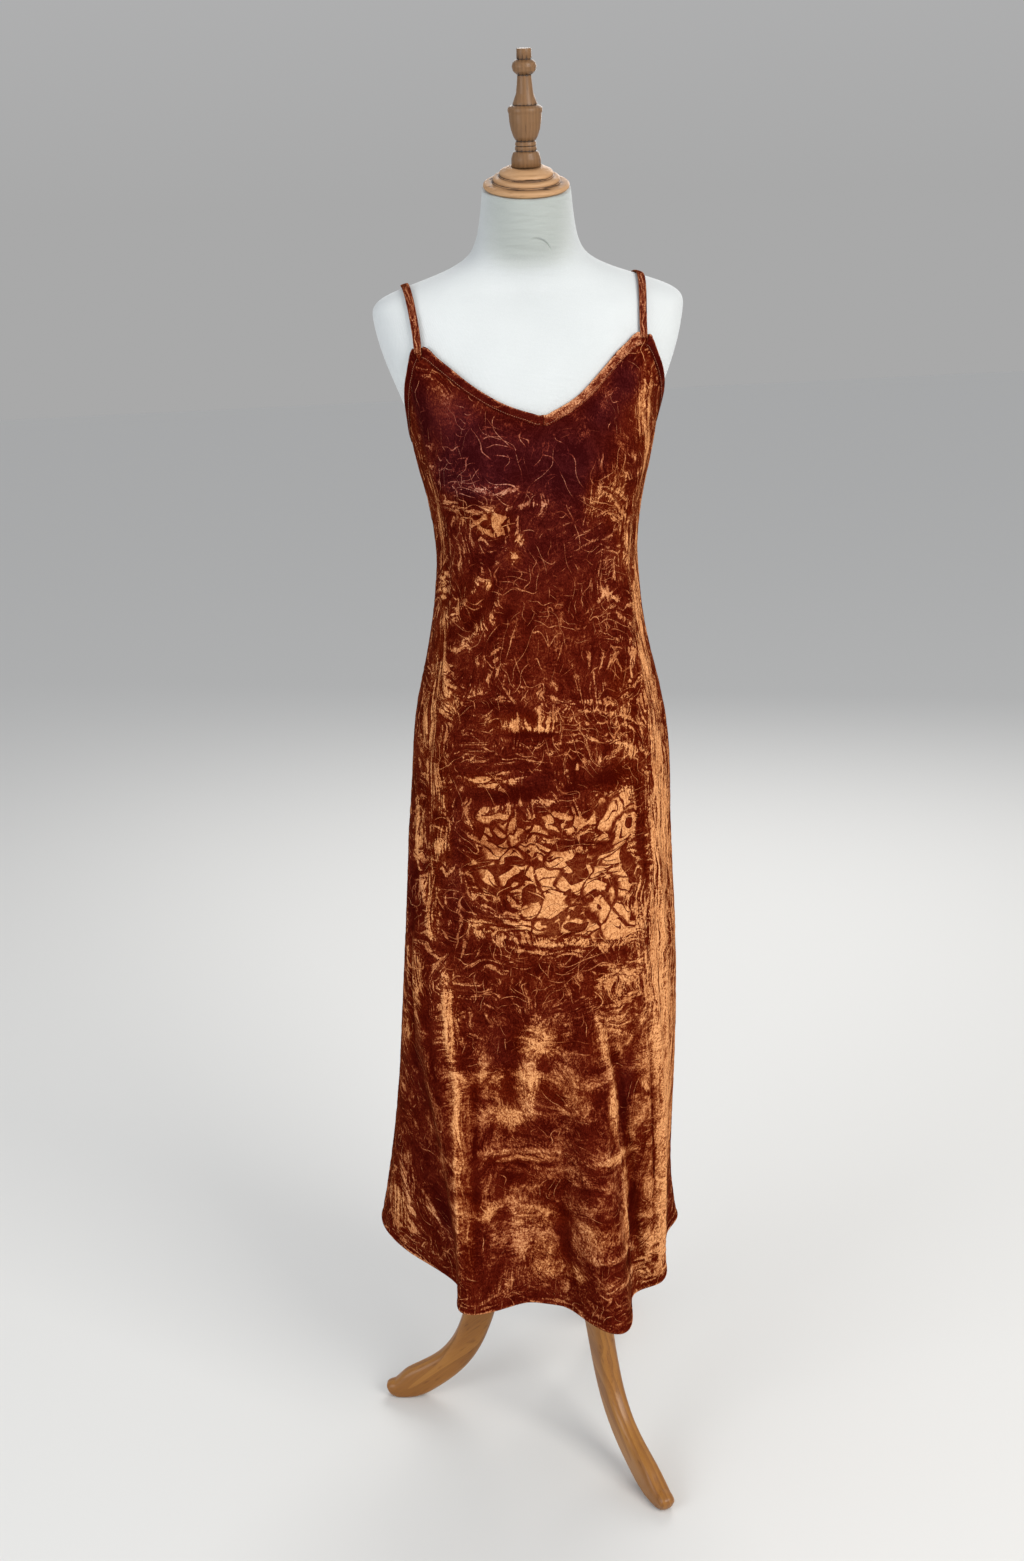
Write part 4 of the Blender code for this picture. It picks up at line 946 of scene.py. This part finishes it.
def crushed_pile_group():
    """Pile pressed every way: Light is how light it lies, and Height its small relief."""
    group, given, made = new_group("crushed_pile", "Cloth", PILE_INPUTS, ("Light", "Height"))
    cloth, tone = given["Cloth"], given["Tone"]

    def scaled(vector, across, up, apart=1.0):
        return calc_vector(group, "MULTIPLY", vector, (across, up, apart))

    def pushed(vector, scale, by):
        """The vector, moved about by noise of that scale."""
        drift = cloudy(group, vector, scale, 1.0, 0.5, "Color")
        drift = calc_vector(group, "SUBTRACT", drift, (0.5, 0.5, 0.5))
        return calc_vector(group, "ADD", vector, scaled(drift, by, by, 0))

    def drawn_out(vector, across, up, detail=1.0, roughness=0.5):
        """Noise of so many shapes to a metre, across and up."""
        return cloudy(group, scaled(vector, across, up), 1.0, detail, roughness)

    gentle = pushed(cloth, 16.0, 0.026)
    swirled = pushed(pushed(cloth, 9.0, 0.090), 30.0, 0.030)
    curled = pushed(swirled, 90.0, 0.006)
    upright = span(group, given["Streak"], 0.0, 0.8)
    level = span(group, given["Streak"], -0.1, -0.8)
    soft = span(group, given["Soft"], 0.0, 1.0)
    clouds = span(group, cloudy(group, swirled, 26.0, 2.0, 0.6), 0.34, 0.66, -1.0, 1.0)
    grain = span(group, cloudy(group, scaled(cloth, 1.0, 0.7), 600.0, 1.0, 0.7), 0.30, 0.70, -1.0, 1.0)
    nap = span(group, cloudy(group, scaled(gentle, 1.0, 0.7), 300.0, 1.5, 0.6), 0.32, 0.68, -1.0, 1.0)

    # The pile lies in fine fibres, swirled or level over most of the cloth and upright in its streaks.
    side = span(group, cloudy(group, swirled, 18.0, 0.0), 0.47, 0.53)
    combed, crossed = drawn_out(curled, 40.0, 560.0, 1.0, 0.6), drawn_out(curled, 500.0, 44.0, 1.0, 0.6)
    hanging = drawn_out(gentle, 560.0, 26.0, 1.0, 0.6)
    fibre = mix(group, mix(group, combed, crossed, side), hanging, upright)
    combing = span(group, fibre, 0.34, 0.66, -1.0, 1.0)

    # Pressed shapes with frayed outlines: swirled, level or upright ones, or soft clouds instead.
    broad, tall = drawn_out(curled, 34.0, 140.0, 1.5, 0.6), drawn_out(curled, 130.0, 32.0, 1.5, 0.6)
    rounded = mix(group, broad, tall, side)
    field = mix(group, rounded, drawn_out(curled, 26.0, 34.0, 3.0, 0.62), soft)
    field = mix(group, field, drawn_out(pushed(gentle, 60.0, 0.008), 26.0, 190.0, 1.5, 0.6), level)
    field = mix(group, field, drawn_out(gentle, 150.0, 13.0, 2.5, 0.65), upright)
    frayed = times(group, add(group, fibre, -0.5), add(group, 0.34, (soft, -0.16)))
    pressed = calc(group, "MINIMUM", tone, 0.62)
    field = add(group, field, (pressed, 0.62), frayed, (nap, 0.030), (grain, 0.030))
    shapes = span(group, field, add(group, 0.800, (soft, -0.14)), add(group, 0.880, (soft, 0.10)))
    halo = span(group, field, 0.60, 0.90)

    # The mosaic: flat lights cut by dark slits that open and close, and by thin cracks.
    opened = span(group, drawn_out(gentle, 24.0, 30.0), 0.38, 0.62, 0.0, 0.050)
    opened = times(group, opened, span(group, tone, 0.45, 0.85, 1.15, 0.50))
    off_slit = calc(group, "ABSOLUTE", add(group, drawn_out(curled, 22.0, 62.0, 0.5), -0.5))
    slit = span(group, off_slit, times(group, opened, 0.82), opened)
    inputs = {"Vector": scaled(curled, 24.0, 34.0), "Scale": 1.0}
    off_crack = add_node(group, "TexVoronoi", inputs, feature="DISTANCE_TO_EDGE").outputs["Distance"]
    crack = span(group, off_crack, 0.03, span(group, cloudy(group, cloth, 60.0, 1.0), 0.4, 0.6, 0.05, 0.14))
    spots = add(group, drawn_out(curled, 70.0, 130.0), (span(group, tone, 0.5, 0.85), 0.05))
    plates = times(group, calc(group, "MINIMUM", slit, crack), span(group, spots, 0.31, 0.34))

    # Fine bright hairs, drawn out level, upright and aslant in long arcs, which come and go.
    drawn = pushed(pushed(cloth, 7.0, 0.100), 24.0, 0.014)
    sideways, upwards, _ = split(group, drawn)
    wiry = 0.0
    for across, up, spacing, start in HAIR_RUNS:
        shift = calc_vector(group, "ADD", drawn, (start, start, 0.0))
        sway = cloudy(group, shift, 24.0, 1.0)
        phase = add(group, (sideways, across / spacing), (upwards, up / spacing), (sway, 3.4))
        away = calc(group, "ABSOLUTE", add(group, calc(group, "FRACT", phase), -0.5))
        line = span(group, away, HAIR * 0.4 / spacing, HAIR / spacing, 1.0, 0.0)
        shown = add(group, cloudy(group, shift, 26.0, 1.5), (given["Hairs"], 0.12), (soft, -0.05))
        wiry = calc(group, "MAXIMUM", wiry, times(group, line, span(group, shown, 0.53, 0.68)))

    # Light: shapes or mosaic by their gold, the halo round the shapes, the hairs, and all of it grainy.
    mosaic = span(group, add(group, given["Mosaic"], (rounded, 0.6), -0.30), 0.42, 0.46)
    pattern = mix(group, shapes, plates, mosaic)
    gold = times(group, pattern, add(group, 0.15, (tone, 0.42), (mosaic, 0.09)))
    ringed = times(group, halo, add(group, 1.0, (mosaic, -1.0)))
    # Painted sheen adds a smooth painted highlight where the patches give it.
    light = add(group, 0.135, (tone, 0.24), gold, (clouds, 0.05), (ringed, 0.10), given["Painted_Sheen"])
    hairs = add(group, 0.06, (tone, 0.30), (wiry, 0.52))
    light = calc(group, "MAXIMUM", calc(group, "MINIMUM", light, 0.86), hairs)
    grainy = add(group, (grain, 0.62), (nap, 0.42), (combing, add(group, 0.25, (upright, 0.40))))
    light = add(group, light, times(group, grainy, add(group, 0.020, (light, 0.27))))
    feed(group, made["Light"], light)
    height = add(group, (clouds, 0.25), (pattern, 0.40), (nap, 0.12), (grain, 0.10), (wiry, 0.3))
    feed(group, made["Height"], height)
    return group


WARM = (
    (0.14, (0.042, 0.0020, 0.0004)),
    (0.30, (0.100, 0.0085, 0.0022)),
    (0.46, (0.200, 0.0450, 0.0130)),
    (0.62, (0.350, 0.1080, 0.0360)),
    (0.80, (0.590, 0.2440, 0.0920)),
    (1.00, (0.820, 0.3850, 0.1620)),
)
WINE = (
    (0.14, (0.030, 0.0024, 0.0030)),
    (0.28, (0.056, 0.0066, 0.0074)),
    (0.38, (0.105, 0.0130, 0.0100)),
    (0.50, (0.180, 0.0290, 0.0190)),
    (0.70, (0.360, 0.1300, 0.0850)),
    (1.00, (0.700, 0.3800, 0.2700)),
)
velvet, tree, shader = new_material(
    "crushed_velvet",
    Sheen_Weight=0.10,
    Sheen_Roughness=0.25,
    Sheen_Tint=(1.0, 0.42, 0.14, 1),
    Specular_IOR_Level=0.0,
)
inputs = {name: from_mesh(tree, name.lower()) for name in PILE_INPUTS}
inputs["Cloth"] = from_mesh(tree, "cloth", "Vector")
pile = add_node(tree, "Group", inputs, node_tree=crushed_pile_group()).outputs
inputs = {
    "Factor": span(tree, from_mesh(tree, "warmth"), -0.9, 0.3),
    "A": colours(tree, pile["Light"], *WINE),
    "B": colours(tree, pile["Light"], *WARM),
}
dyed = add_node(tree, "Mix", inputs, data_type="RGBA").outputs["Result"]
feed(tree, shader.inputs["Base Color"], dyed)
feed(tree, shader.inputs["Roughness"], span(tree, pile["Light"], 0.2, 0.9, 0.9, 0.6))
feed(tree, shader.inputs["Normal"], relief(tree, pile["Height"], 0.0010, 0.7))


def keep_cloth(piece, cloth, channels):
    """Stores the cloth's own coordinates and its channels on a piece, point by point."""
    store(piece, "cloth", cloth)
    for name, values in channels.items():
        store(piece, name, values)


def near_hem(above_hem, at, half, power):
    """1 at that height above the hem, falling away at half above and below it."""
    return np.exp(-(((above_hem - at) / half) ** power))


def shell(name, outer, inner):
    """A closed wall: a fine outer grid and a coarse inner one, joined round their rims."""
    build = bmesh.new()
    out = [[build.verts.new(point) for point in row] for row in outer]
    back = [[build.verts.new(point) for point in row] for row in inner]
    for r in range(ROWS):
        for c in range(COLUMNS):
            build.faces.new((out[r][c], out[r + 1][c], out[r + 1][c + 1], out[r][c + 1]))
    for r in range(len(back) - 1):
        for c in range(len(back[0]) - 1):
            build.faces.new((back[r][c], back[r][c + 1], back[r + 1][c + 1], back[r + 1][c]))
    rims = (
        (out[0], back[0]),
        ([row[-1] for row in out], [row[-1] for row in back]),
        (out[-1][::-1], back[-1][::-1]),
        ([row[0] for row in out][::-1], [row[0] for row in back][::-1]),
    )
    for fine, coarse in rims:
        for i in range(len(coarse) - 1):
            build.faces.new((*fine[i * INNER_STEP : (i + 1) * INNER_STEP + 1], coarse[i + 1], coarse[i]))
    build.normal_update()
    for face in build.faces:
        face.smooth = True
    return new_piece(name, build)


def velvet_panel(name, node, first, last, creases, patches, seed):
    """A front or a back, with its cloth's area, its width at the hem and its length."""
    close = 1 - np.array(HEM_ROWS) / DROP
    shares = np.concatenate([np.linspace(0, close[0], ROWS + 2 - len(close))[:-1], close])
    angles, down = np.meshgrid(np.linspace(first, last, COLUMNS + 1), shares)
    tops, hems = top_at(angles[0]), curve_through(*hem_table, angles[0])
    heights = tops + (hems - tops) * down
    seam_gap = np.where(angles == first, 1, np.where(angles == last, -1, 0)) * SEAM_GAP
    points = points_at(angles + seam_gap, heights)
    normals = normals_of(points)
    steps = np.linalg.norm(np.diff(points, axis=1), axis=-1)
    across = np.pad(np.cumsum(steps, axis=1), ((0, 0), (1, 0)))
    across -= across[:, COLUMNS // 2, None]

    def spot_of(angle, height):
        """How far across the cloth and how high an angle and a height lie."""
        column = (angle - first) / (last - first) * COLUMNS
        left = int(min(max(math.floor(column), 0), COLUMNS - 1))
        share = column - left
        low, high = (np.interp(-height, -heights[:, c], across[:, c]) for c in (left, left + 1))
        return low * (1 - share) + high * share, height

    moved, crease_shading = lay_creases(creases, across, heights, spot_of)
    above_hem = heights - hems
    hem_roll = near_hem(above_hem, HEM_BULGE_AT, HEM_BULGE_HALF, 4) * HEM_BULGE
    hem_roll -= near_hem(above_hem, HEM_SEAM_AT, HEM_SEAM_HALF, 2) * HEM_SEAM
    hanging = np.clip((HIPS - heights) / HIPS_BLEND, 0, 1)
    moved = np.clip(moved, -(SINK_ON_FORM + SINK_HANGING * hanging), RISE)
    bent_across = across + (ripples(across, heights, 0.030, 0.030, seed) - 0.5) * WANDER
    bent_up = heights + (ripples(across, heights, 0.034, 0.034, seed + 1) - 0.5) * WANDER
    crush = np.zeros(across.shape)
    for cell_across, cell_up, share, draw in CRUSHED:
        wrinkles = ripples(bent_across, bent_up, cell_across, cell_up, seed + draw)
        crush += share * (1 - np.abs(2 * wrinkles - 1))
    crushed = (crush - 0.5) * np.clip(np.minimum(down, 1 - down) / CALM_EDGE, 0, 1)
    channels = lay_patches(patches, across, heights, spot_of)
    by_hem = near_hem(above_hem, 0.0, HEM_STREAKS, 2)
    channels["streak"] = channels["streak"] * (1 - by_hem) - by_hem
    channels["hairs"] += 0.5 * by_hem
    # Painted light and shade: the ridges of creases and wrinkles are lighter, their troughs darker.
    channels["tone"] += BASE_TONE + PAINTED_CREASE_SHADING * crease_shading + PAINTED_CRUSH_SHADING * crushed
    channels["tone"] += EDGE_LIGHT * near_hem(above_hem, EDGE_LIGHT_AT, EDGE_LIGHT_HALF, 4)
    outer = points + normals * (moved + hem_roll + CRUSH_HEIGHT * crushed)[..., None]
    thickness = np.where(above_hem < TURNED_HEM, WALL_AT_HEM, WALL)
    inner = (points + normals * (moved - thickness)[..., None])[::INNER_STEP, ::INNER_STEP]
    piece = shell(name, outer, inner)
    along_hem = heights - (hems - hems.mean()) * down**3
    cloth = np.stack([across, along_hem, np.full(across.shape, seed * 1.0)], axis=-1)
    inner_cloth = cloth[::INNER_STEP, ::INNER_STEP]
    for key, values in channels.items():
        inner_values = values[::INNER_STEP, ::INNER_STEP] * 0.5
        channels[key] = np.concatenate([values.ravel(), inner_values.ravel()])
    keep_cloth(piece, np.concatenate([cloth.reshape(-1, 3), inner_cloth.reshape(-1, 3)]), channels)
    place_on_frame(piece, velvet, "crushed_velvet", node)
    downward, sideways = np.diff(points, axis=0), np.diff(points, axis=1)
    area = float(np.linalg.norm(np.cross(downward[:, :-1], sideways[:-1]), axis=-1).sum())
    length = float(np.linalg.norm(downward, axis=-1).sum(axis=0).max())
    return piece, area, (float(np.ptp(across[-1])), length)


front, front_area, front_cut = velvet_panel(
    "velvet_front", "dress_front", -SIDE_SEAM, SIDE_SEAM, FRONT_CREASES, FRONT_PATCHES, 11
)
back, back_area, back_cut = velvet_panel(
    "velvet_back", "dress_back", SIDE_SEAM, 360 - SIDE_SEAM, BACK_CREASES, BACK_PATCHES, 23
)

# The edges are bound with strips of the same velvet, turned over the panels' tops and stitched
# through near their feet. The two neck strips are mitred at the point of the V.
STRIP_WIDTH, STRIP_ROWS = 0.010, 5
STRIP_SPACING, STRIP_GAP, STRIP_SAMPLES = 0.0022, 0.00015, 160
STRIP_FALL = 0.004  # how far below the edge the strip's way down is read
MITRE_FADE = 0.020
STRIP_RUNS = (
    # node, from and to angle, how far the foot's corner drops and lies aside at each end, and the tone
    ("neck_binding_right", -61.5, 0.5, (0.0135, -0.0005), (0.0107, 0.0), 0.26),
    ("neck_binding_left", 0.5, 58.5, (0.0107, 0.0), (0.0135, 0.0005), 0.50),
    ("armhole_binding_left", 62.0, 129.0, (0.0135, -0.0073), (0.0082, 0.0050), 0.26),
    ("back_binding", 134.5, 225.5, (0.0082, -0.0050), (0.0082, 0.0050), 0.24),
    ("armhole_binding_right", 231.0, 295.0, (0.0082, -0.0050), (0.0135, 0.0073), 0.22),
)
# The strip's section: how far down from the panel's edge, and how far out from the velvet's face.
SECTION_MM = (
    (10.0, 0.1), (10.2, 0.6), (9.7, 1.1), (8.3, 1.0), (7.4, 1.2), (5.5, 1.5), (3.0, 1.6), (1.0, 1.4),
    (-0.3, 0.9), (-0.8, 0.0), (-0.8, -1.0), (-0.4, -1.9), (0.8, -2.3), (3.4, -2.3), (3.4, -1.7),
    (0.2, -1.6), (0.2, 0.1),
)
STRIP_SECTION = np.array(SECTION_MM) / 1000
FOLD_LIGHT, FOLD_SOFT = 0.36, 0.0009
TRIM_PILE = dict(zip(PATCH_CHANNELS, (0.24, 0.0, 0.0, -0.4, -0.2, 0.6, 0.0)))
STRIP_GRAIN, STRIP_CLOTH = 2.0, 40.0  # how much finer its pile is, and which piece of cloth it is cut from
STITCH_DOWN, STITCH_OUT, STITCH_PITCH, STITCH_LENGTH = 0.0083, 0.0011, 0.0026, 0.0017
THREAD, THREAD_FLAT = 0.00022, 1.3
THREAD_TURNS = np.linspace(0, 2 * np.pi, 6, endpoint=False)
THREAD_RING = np.column_stack([np.cos(THREAD_TURNS) * THREAD_FLAT, np.sin(THREAD_TURNS)]) * THREAD
THREAD_SWELLS = ((0.0, 0.35), (0.2, 0.9), (0.5, 1.15), (0.8, 0.9), (1.0, 0.35))


def gone_along(route):
    """How far along a route each of its points lies."""
    return np.concatenate([[0], np.cumsum(np.linalg.norm(np.diff(route, axis=0), axis=1))])


def read_along(route, gone, at):
    """The places that lie so far along a route."""
    return np.stack([np.interp(at, gone, route[:, k]) for k in range(3)], axis=-1)


def unit(vectors):
    return vectors / np.linalg.norm(vectors, axis=-1, keepdims=True)


def strip_surface(first, last, start_corner, end_corner):
    """The velvet's points and normals under a strip: rows go from its edge to its foot."""
    rough = np.linspace(first, last, STRIP_SAMPLES)
    gone = gone_along(points_at(rough[None], top_at(rough)[None])[0])
    count = round(gone[-1] / STRIP_SPACING)
    angles = np.interp(np.linspace(STRIP_GAP, gone[-1] - STRIP_GAP, count), gone, rough)
    tops = top_at(angles)
    edge = points_at(angles[None], tops[None])[0]
    along = unit(np.gradient(edge, axis=0))
    fall = points_at(angles[None], tops[None] - STRIP_FALL)[0] - edge
    fall -= (fall * along).sum(axis=1, keepdims=True) * along
    foot = edge + unit(fall) * STRIP_WIDTH
    gone = np.linspace(0, gone[-1], count)
    for end, away, (drop, aside) in ((0, gone, start_corner), (-1, gone[-1] - gone, end_corner)):
        turn = math.radians(angles[end])
        wanted = edge[end] + np.array([math.cos(turn) * aside, math.sin(turn) * aside, -drop])
        foot += (wanted - foot[end]) * np.clip(1 - away / MITRE_FADE, 0, 1)[:, None]
    foot_angles = np.degrees(np.arctan2(foot[:, 0] - POLE.x, POLE.y - foot[:, 1]))
    foot_angles = angles + (foot_angles - angles + 180) % 360 - 180
    shares = np.linspace(0, 1, STRIP_ROWS + 1)[:, None]
    heights = tops + (foot[:, 2] - tops) * shares
    points = points_at(angles + (foot_angles - angles) * shares, heights)
    return points, normals_of(points), gone


def strip_place(points, normals, down, out):
    """The point of each station that lies so far down the strip and out from the velvet."""
    row = down / STRIP_WIDTH * STRIP_ROWS
    low = int(min(max(math.floor(row), 0), STRIP_ROWS - 1))
    share = row - low
    within = min(max(share, 0), 1)
    normal = normals[low] * (1 - within) + normals[low + 1] * within
    return points[low] * (1 - share) + points[low + 1] * share + normal * out


def trim_pile(count, **own):
    """The channels of a strip or a strap: the same at each point but for its own ones."""
    return {name: np.full(count, 1.0) * own.get(name, TRIM_PILE[name]) for name in PATCH_CHANNELS}


thread, tree, shader = new_material("rust_thread", Sheen_Weight=0.2, Roughness=0.6)
twist = cloudy(tree, add_node(tree, "TexCoord", {}).outputs["Object"], 700.0, 1.0)
rust = colours(tree, twist, (0.3, (0.20, 0.055, 0.018)), (0.7, (0.42, 0.17, 0.06)))
feed(tree, shader.inputs["Base Color"], rust)
trims = []
for node, first, last, start_corner, end_corner, tone in STRIP_RUNS:
    points, normals, gone = strip_surface(first, last, start_corner, end_corner)
    section = [strip_place(points, normals, down, out) for down, out in STRIP_SECTION]
    strip = piece_of_tubes(node + "_strip", [np.stack(section, axis=1)])
    downs = np.tile(STRIP_SECTION[:, 0], len(gone))
    along = np.repeat(gone, len(STRIP_SECTION)) * STRIP_GRAIN + first
    cloth = np.stack([along, downs * STRIP_GRAIN, np.full(len(downs), STRIP_CLOTH)], axis=-1)
    folded = tone + FOLD_LIGHT * np.exp(-((downs / FOLD_SOFT) ** 2))
    keep_cloth(strip, cloth, trim_pile(len(downs), tone=folded))
    place_on_frame(strip, velvet, "crushed_velvet", node)

    seam = strip_place(points, normals, STITCH_DOWN, STITCH_OUT)
    seam_normals = normals[round(STITCH_DOWN / STRIP_WIDTH * STRIP_ROWS)]
    tubes = []
    for i in range(1, int(gone[-1] / STITCH_PITCH)):
        middle = i * STITCH_PITCH
        start, end = read_along(seam, gone, middle + np.array([-0.5, 0.5]) * STITCH_LENGTH)
        out = seam_normals[int(np.argmin(np.abs(gone - middle)))]
        side = unit(np.cross(end - start, out))
        around = THREAD_RING[:, :1] * side + THREAD_RING[:, 1:] * out
        tubes.append([start + (end - start) * t + around * swell for t, swell in THREAD_SWELLS])
    stitches = piece_of_tubes(node + "_stitches", tubes)
    place_on_frame(stitches, thread, "crushed_velvet")
    trims += [strip, stitches]

# The straps are narrow tubes of the same velvet, pressed flat. They lie on the shoulders and are
# sewn in behind the binding at the front's points and at the top of the back.
STRAP_SIDES, STRAP_SQUARENESS, STRAP_HALF_DEPTH = 14, 2.8, 0.0012
STRAP_TURNS = 2 * np.pi * (np.arange(STRAP_SIDES) + 0.5) / STRAP_SIDES
STRAP_RING = np.column_stack([np.cos(STRAP_TURNS), np.sin(STRAP_TURNS)])
STRAP_RING /= np.linalg.norm(STRAP_RING, STRAP_SQUARENESS, axis=1, keepdims=True)
STRAP_PIVOT = 1.45  # the height that a strap goes round, from the front over the shoulder to the back
STRAP_START = -1.2  # the turn round it, in radians, before which no strap starts
STRAP_STATIONS, STRAP_TUCK, STRAP_PASSES = 121, 0.008, 3
STRAP_TONE, STRAP_STREAK = 0.46, -0.8
STRAP_GRAIN, STRAP_CLOTH = 2.5, 60.0  # as for the strips
STRAP_STEP = 0.0018  # how far apart a strap's points lie on the cloth, round it
for node in ("strap_right", "strap_left"):
    build = packed(node)
    corners = np.array([vertex.co for vertex in build.verts])
    build.free()
    turns = np.arctan2(corners[:, 2] - STRAP_PIVOT, POLE.y - corners[:, 1])
    turns = np.where(turns < STRAP_START, turns + 2 * math.pi, turns)
    corners = corners[np.argsort(turns)].reshape(-1, 4, 3)
    middles = corners.mean(axis=1)
    along = unit(np.gradient(middles, axis=0))
    sides = []
    for ring in corners:
        nearest = sorted(ring[1:], key=lambda corner: np.linalg.norm(corner - ring[0]))
        sides.append(nearest[1] - ring[0])
    sides = np.array(sides)
    half_width = np.linalg.norm(sides, axis=1).mean() / 2
    sides = unit(sides * np.sign(sides[:, :1]))
    outs = unit(np.cross(sides, along))
    at = np.linspace(0, len(middles) - 1, STRAP_STATIONS)
    middles, sides, outs = (read_along(table, range(len(table)), at) for table in (middles, sides, outs))
    for _ in range(STRAP_PASSES):
        for table in (middles, sides, outs):
            table[1:-1] = table[1:-1] * 0.5 + (table[:-2] + table[2:]) * 0.25
    tucked = middles[:1] - along[0] * STRAP_TUCK, middles[-1:] + along[-1] * STRAP_TUCK
    middles = np.concatenate([tucked[0], middles, tucked[1]])
    sides, outs = (np.concatenate([table[:1], table, table[-1:]]) for table in (sides, outs))
    wide, deep = STRAP_RING[:, :1] * half_width, STRAP_RING[:, 1:] * STRAP_HALF_DEPTH
    rings = middles[:, None] + sides[:, None] * wide + outs[:, None] * deep
    strap = piece_of_tubes(node + "_tube", [rings])
    along = np.repeat(gone_along(middles), STRAP_SIDES) * STRAP_GRAIN
    around = np.tile(np.arange(STRAP_SIDES) * STRAP_STEP, len(middles)) * STRAP_GRAIN
    cloth = np.stack([along, around, np.full(len(around), STRAP_CLOTH)], axis=-1)
    keep_cloth(strap, cloth, trim_pile(len(around), tone=STRAP_TONE, streak=STRAP_STREAK))
    place_on_frame(strap, velvet, "crushed_velvet", node)

low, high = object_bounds()
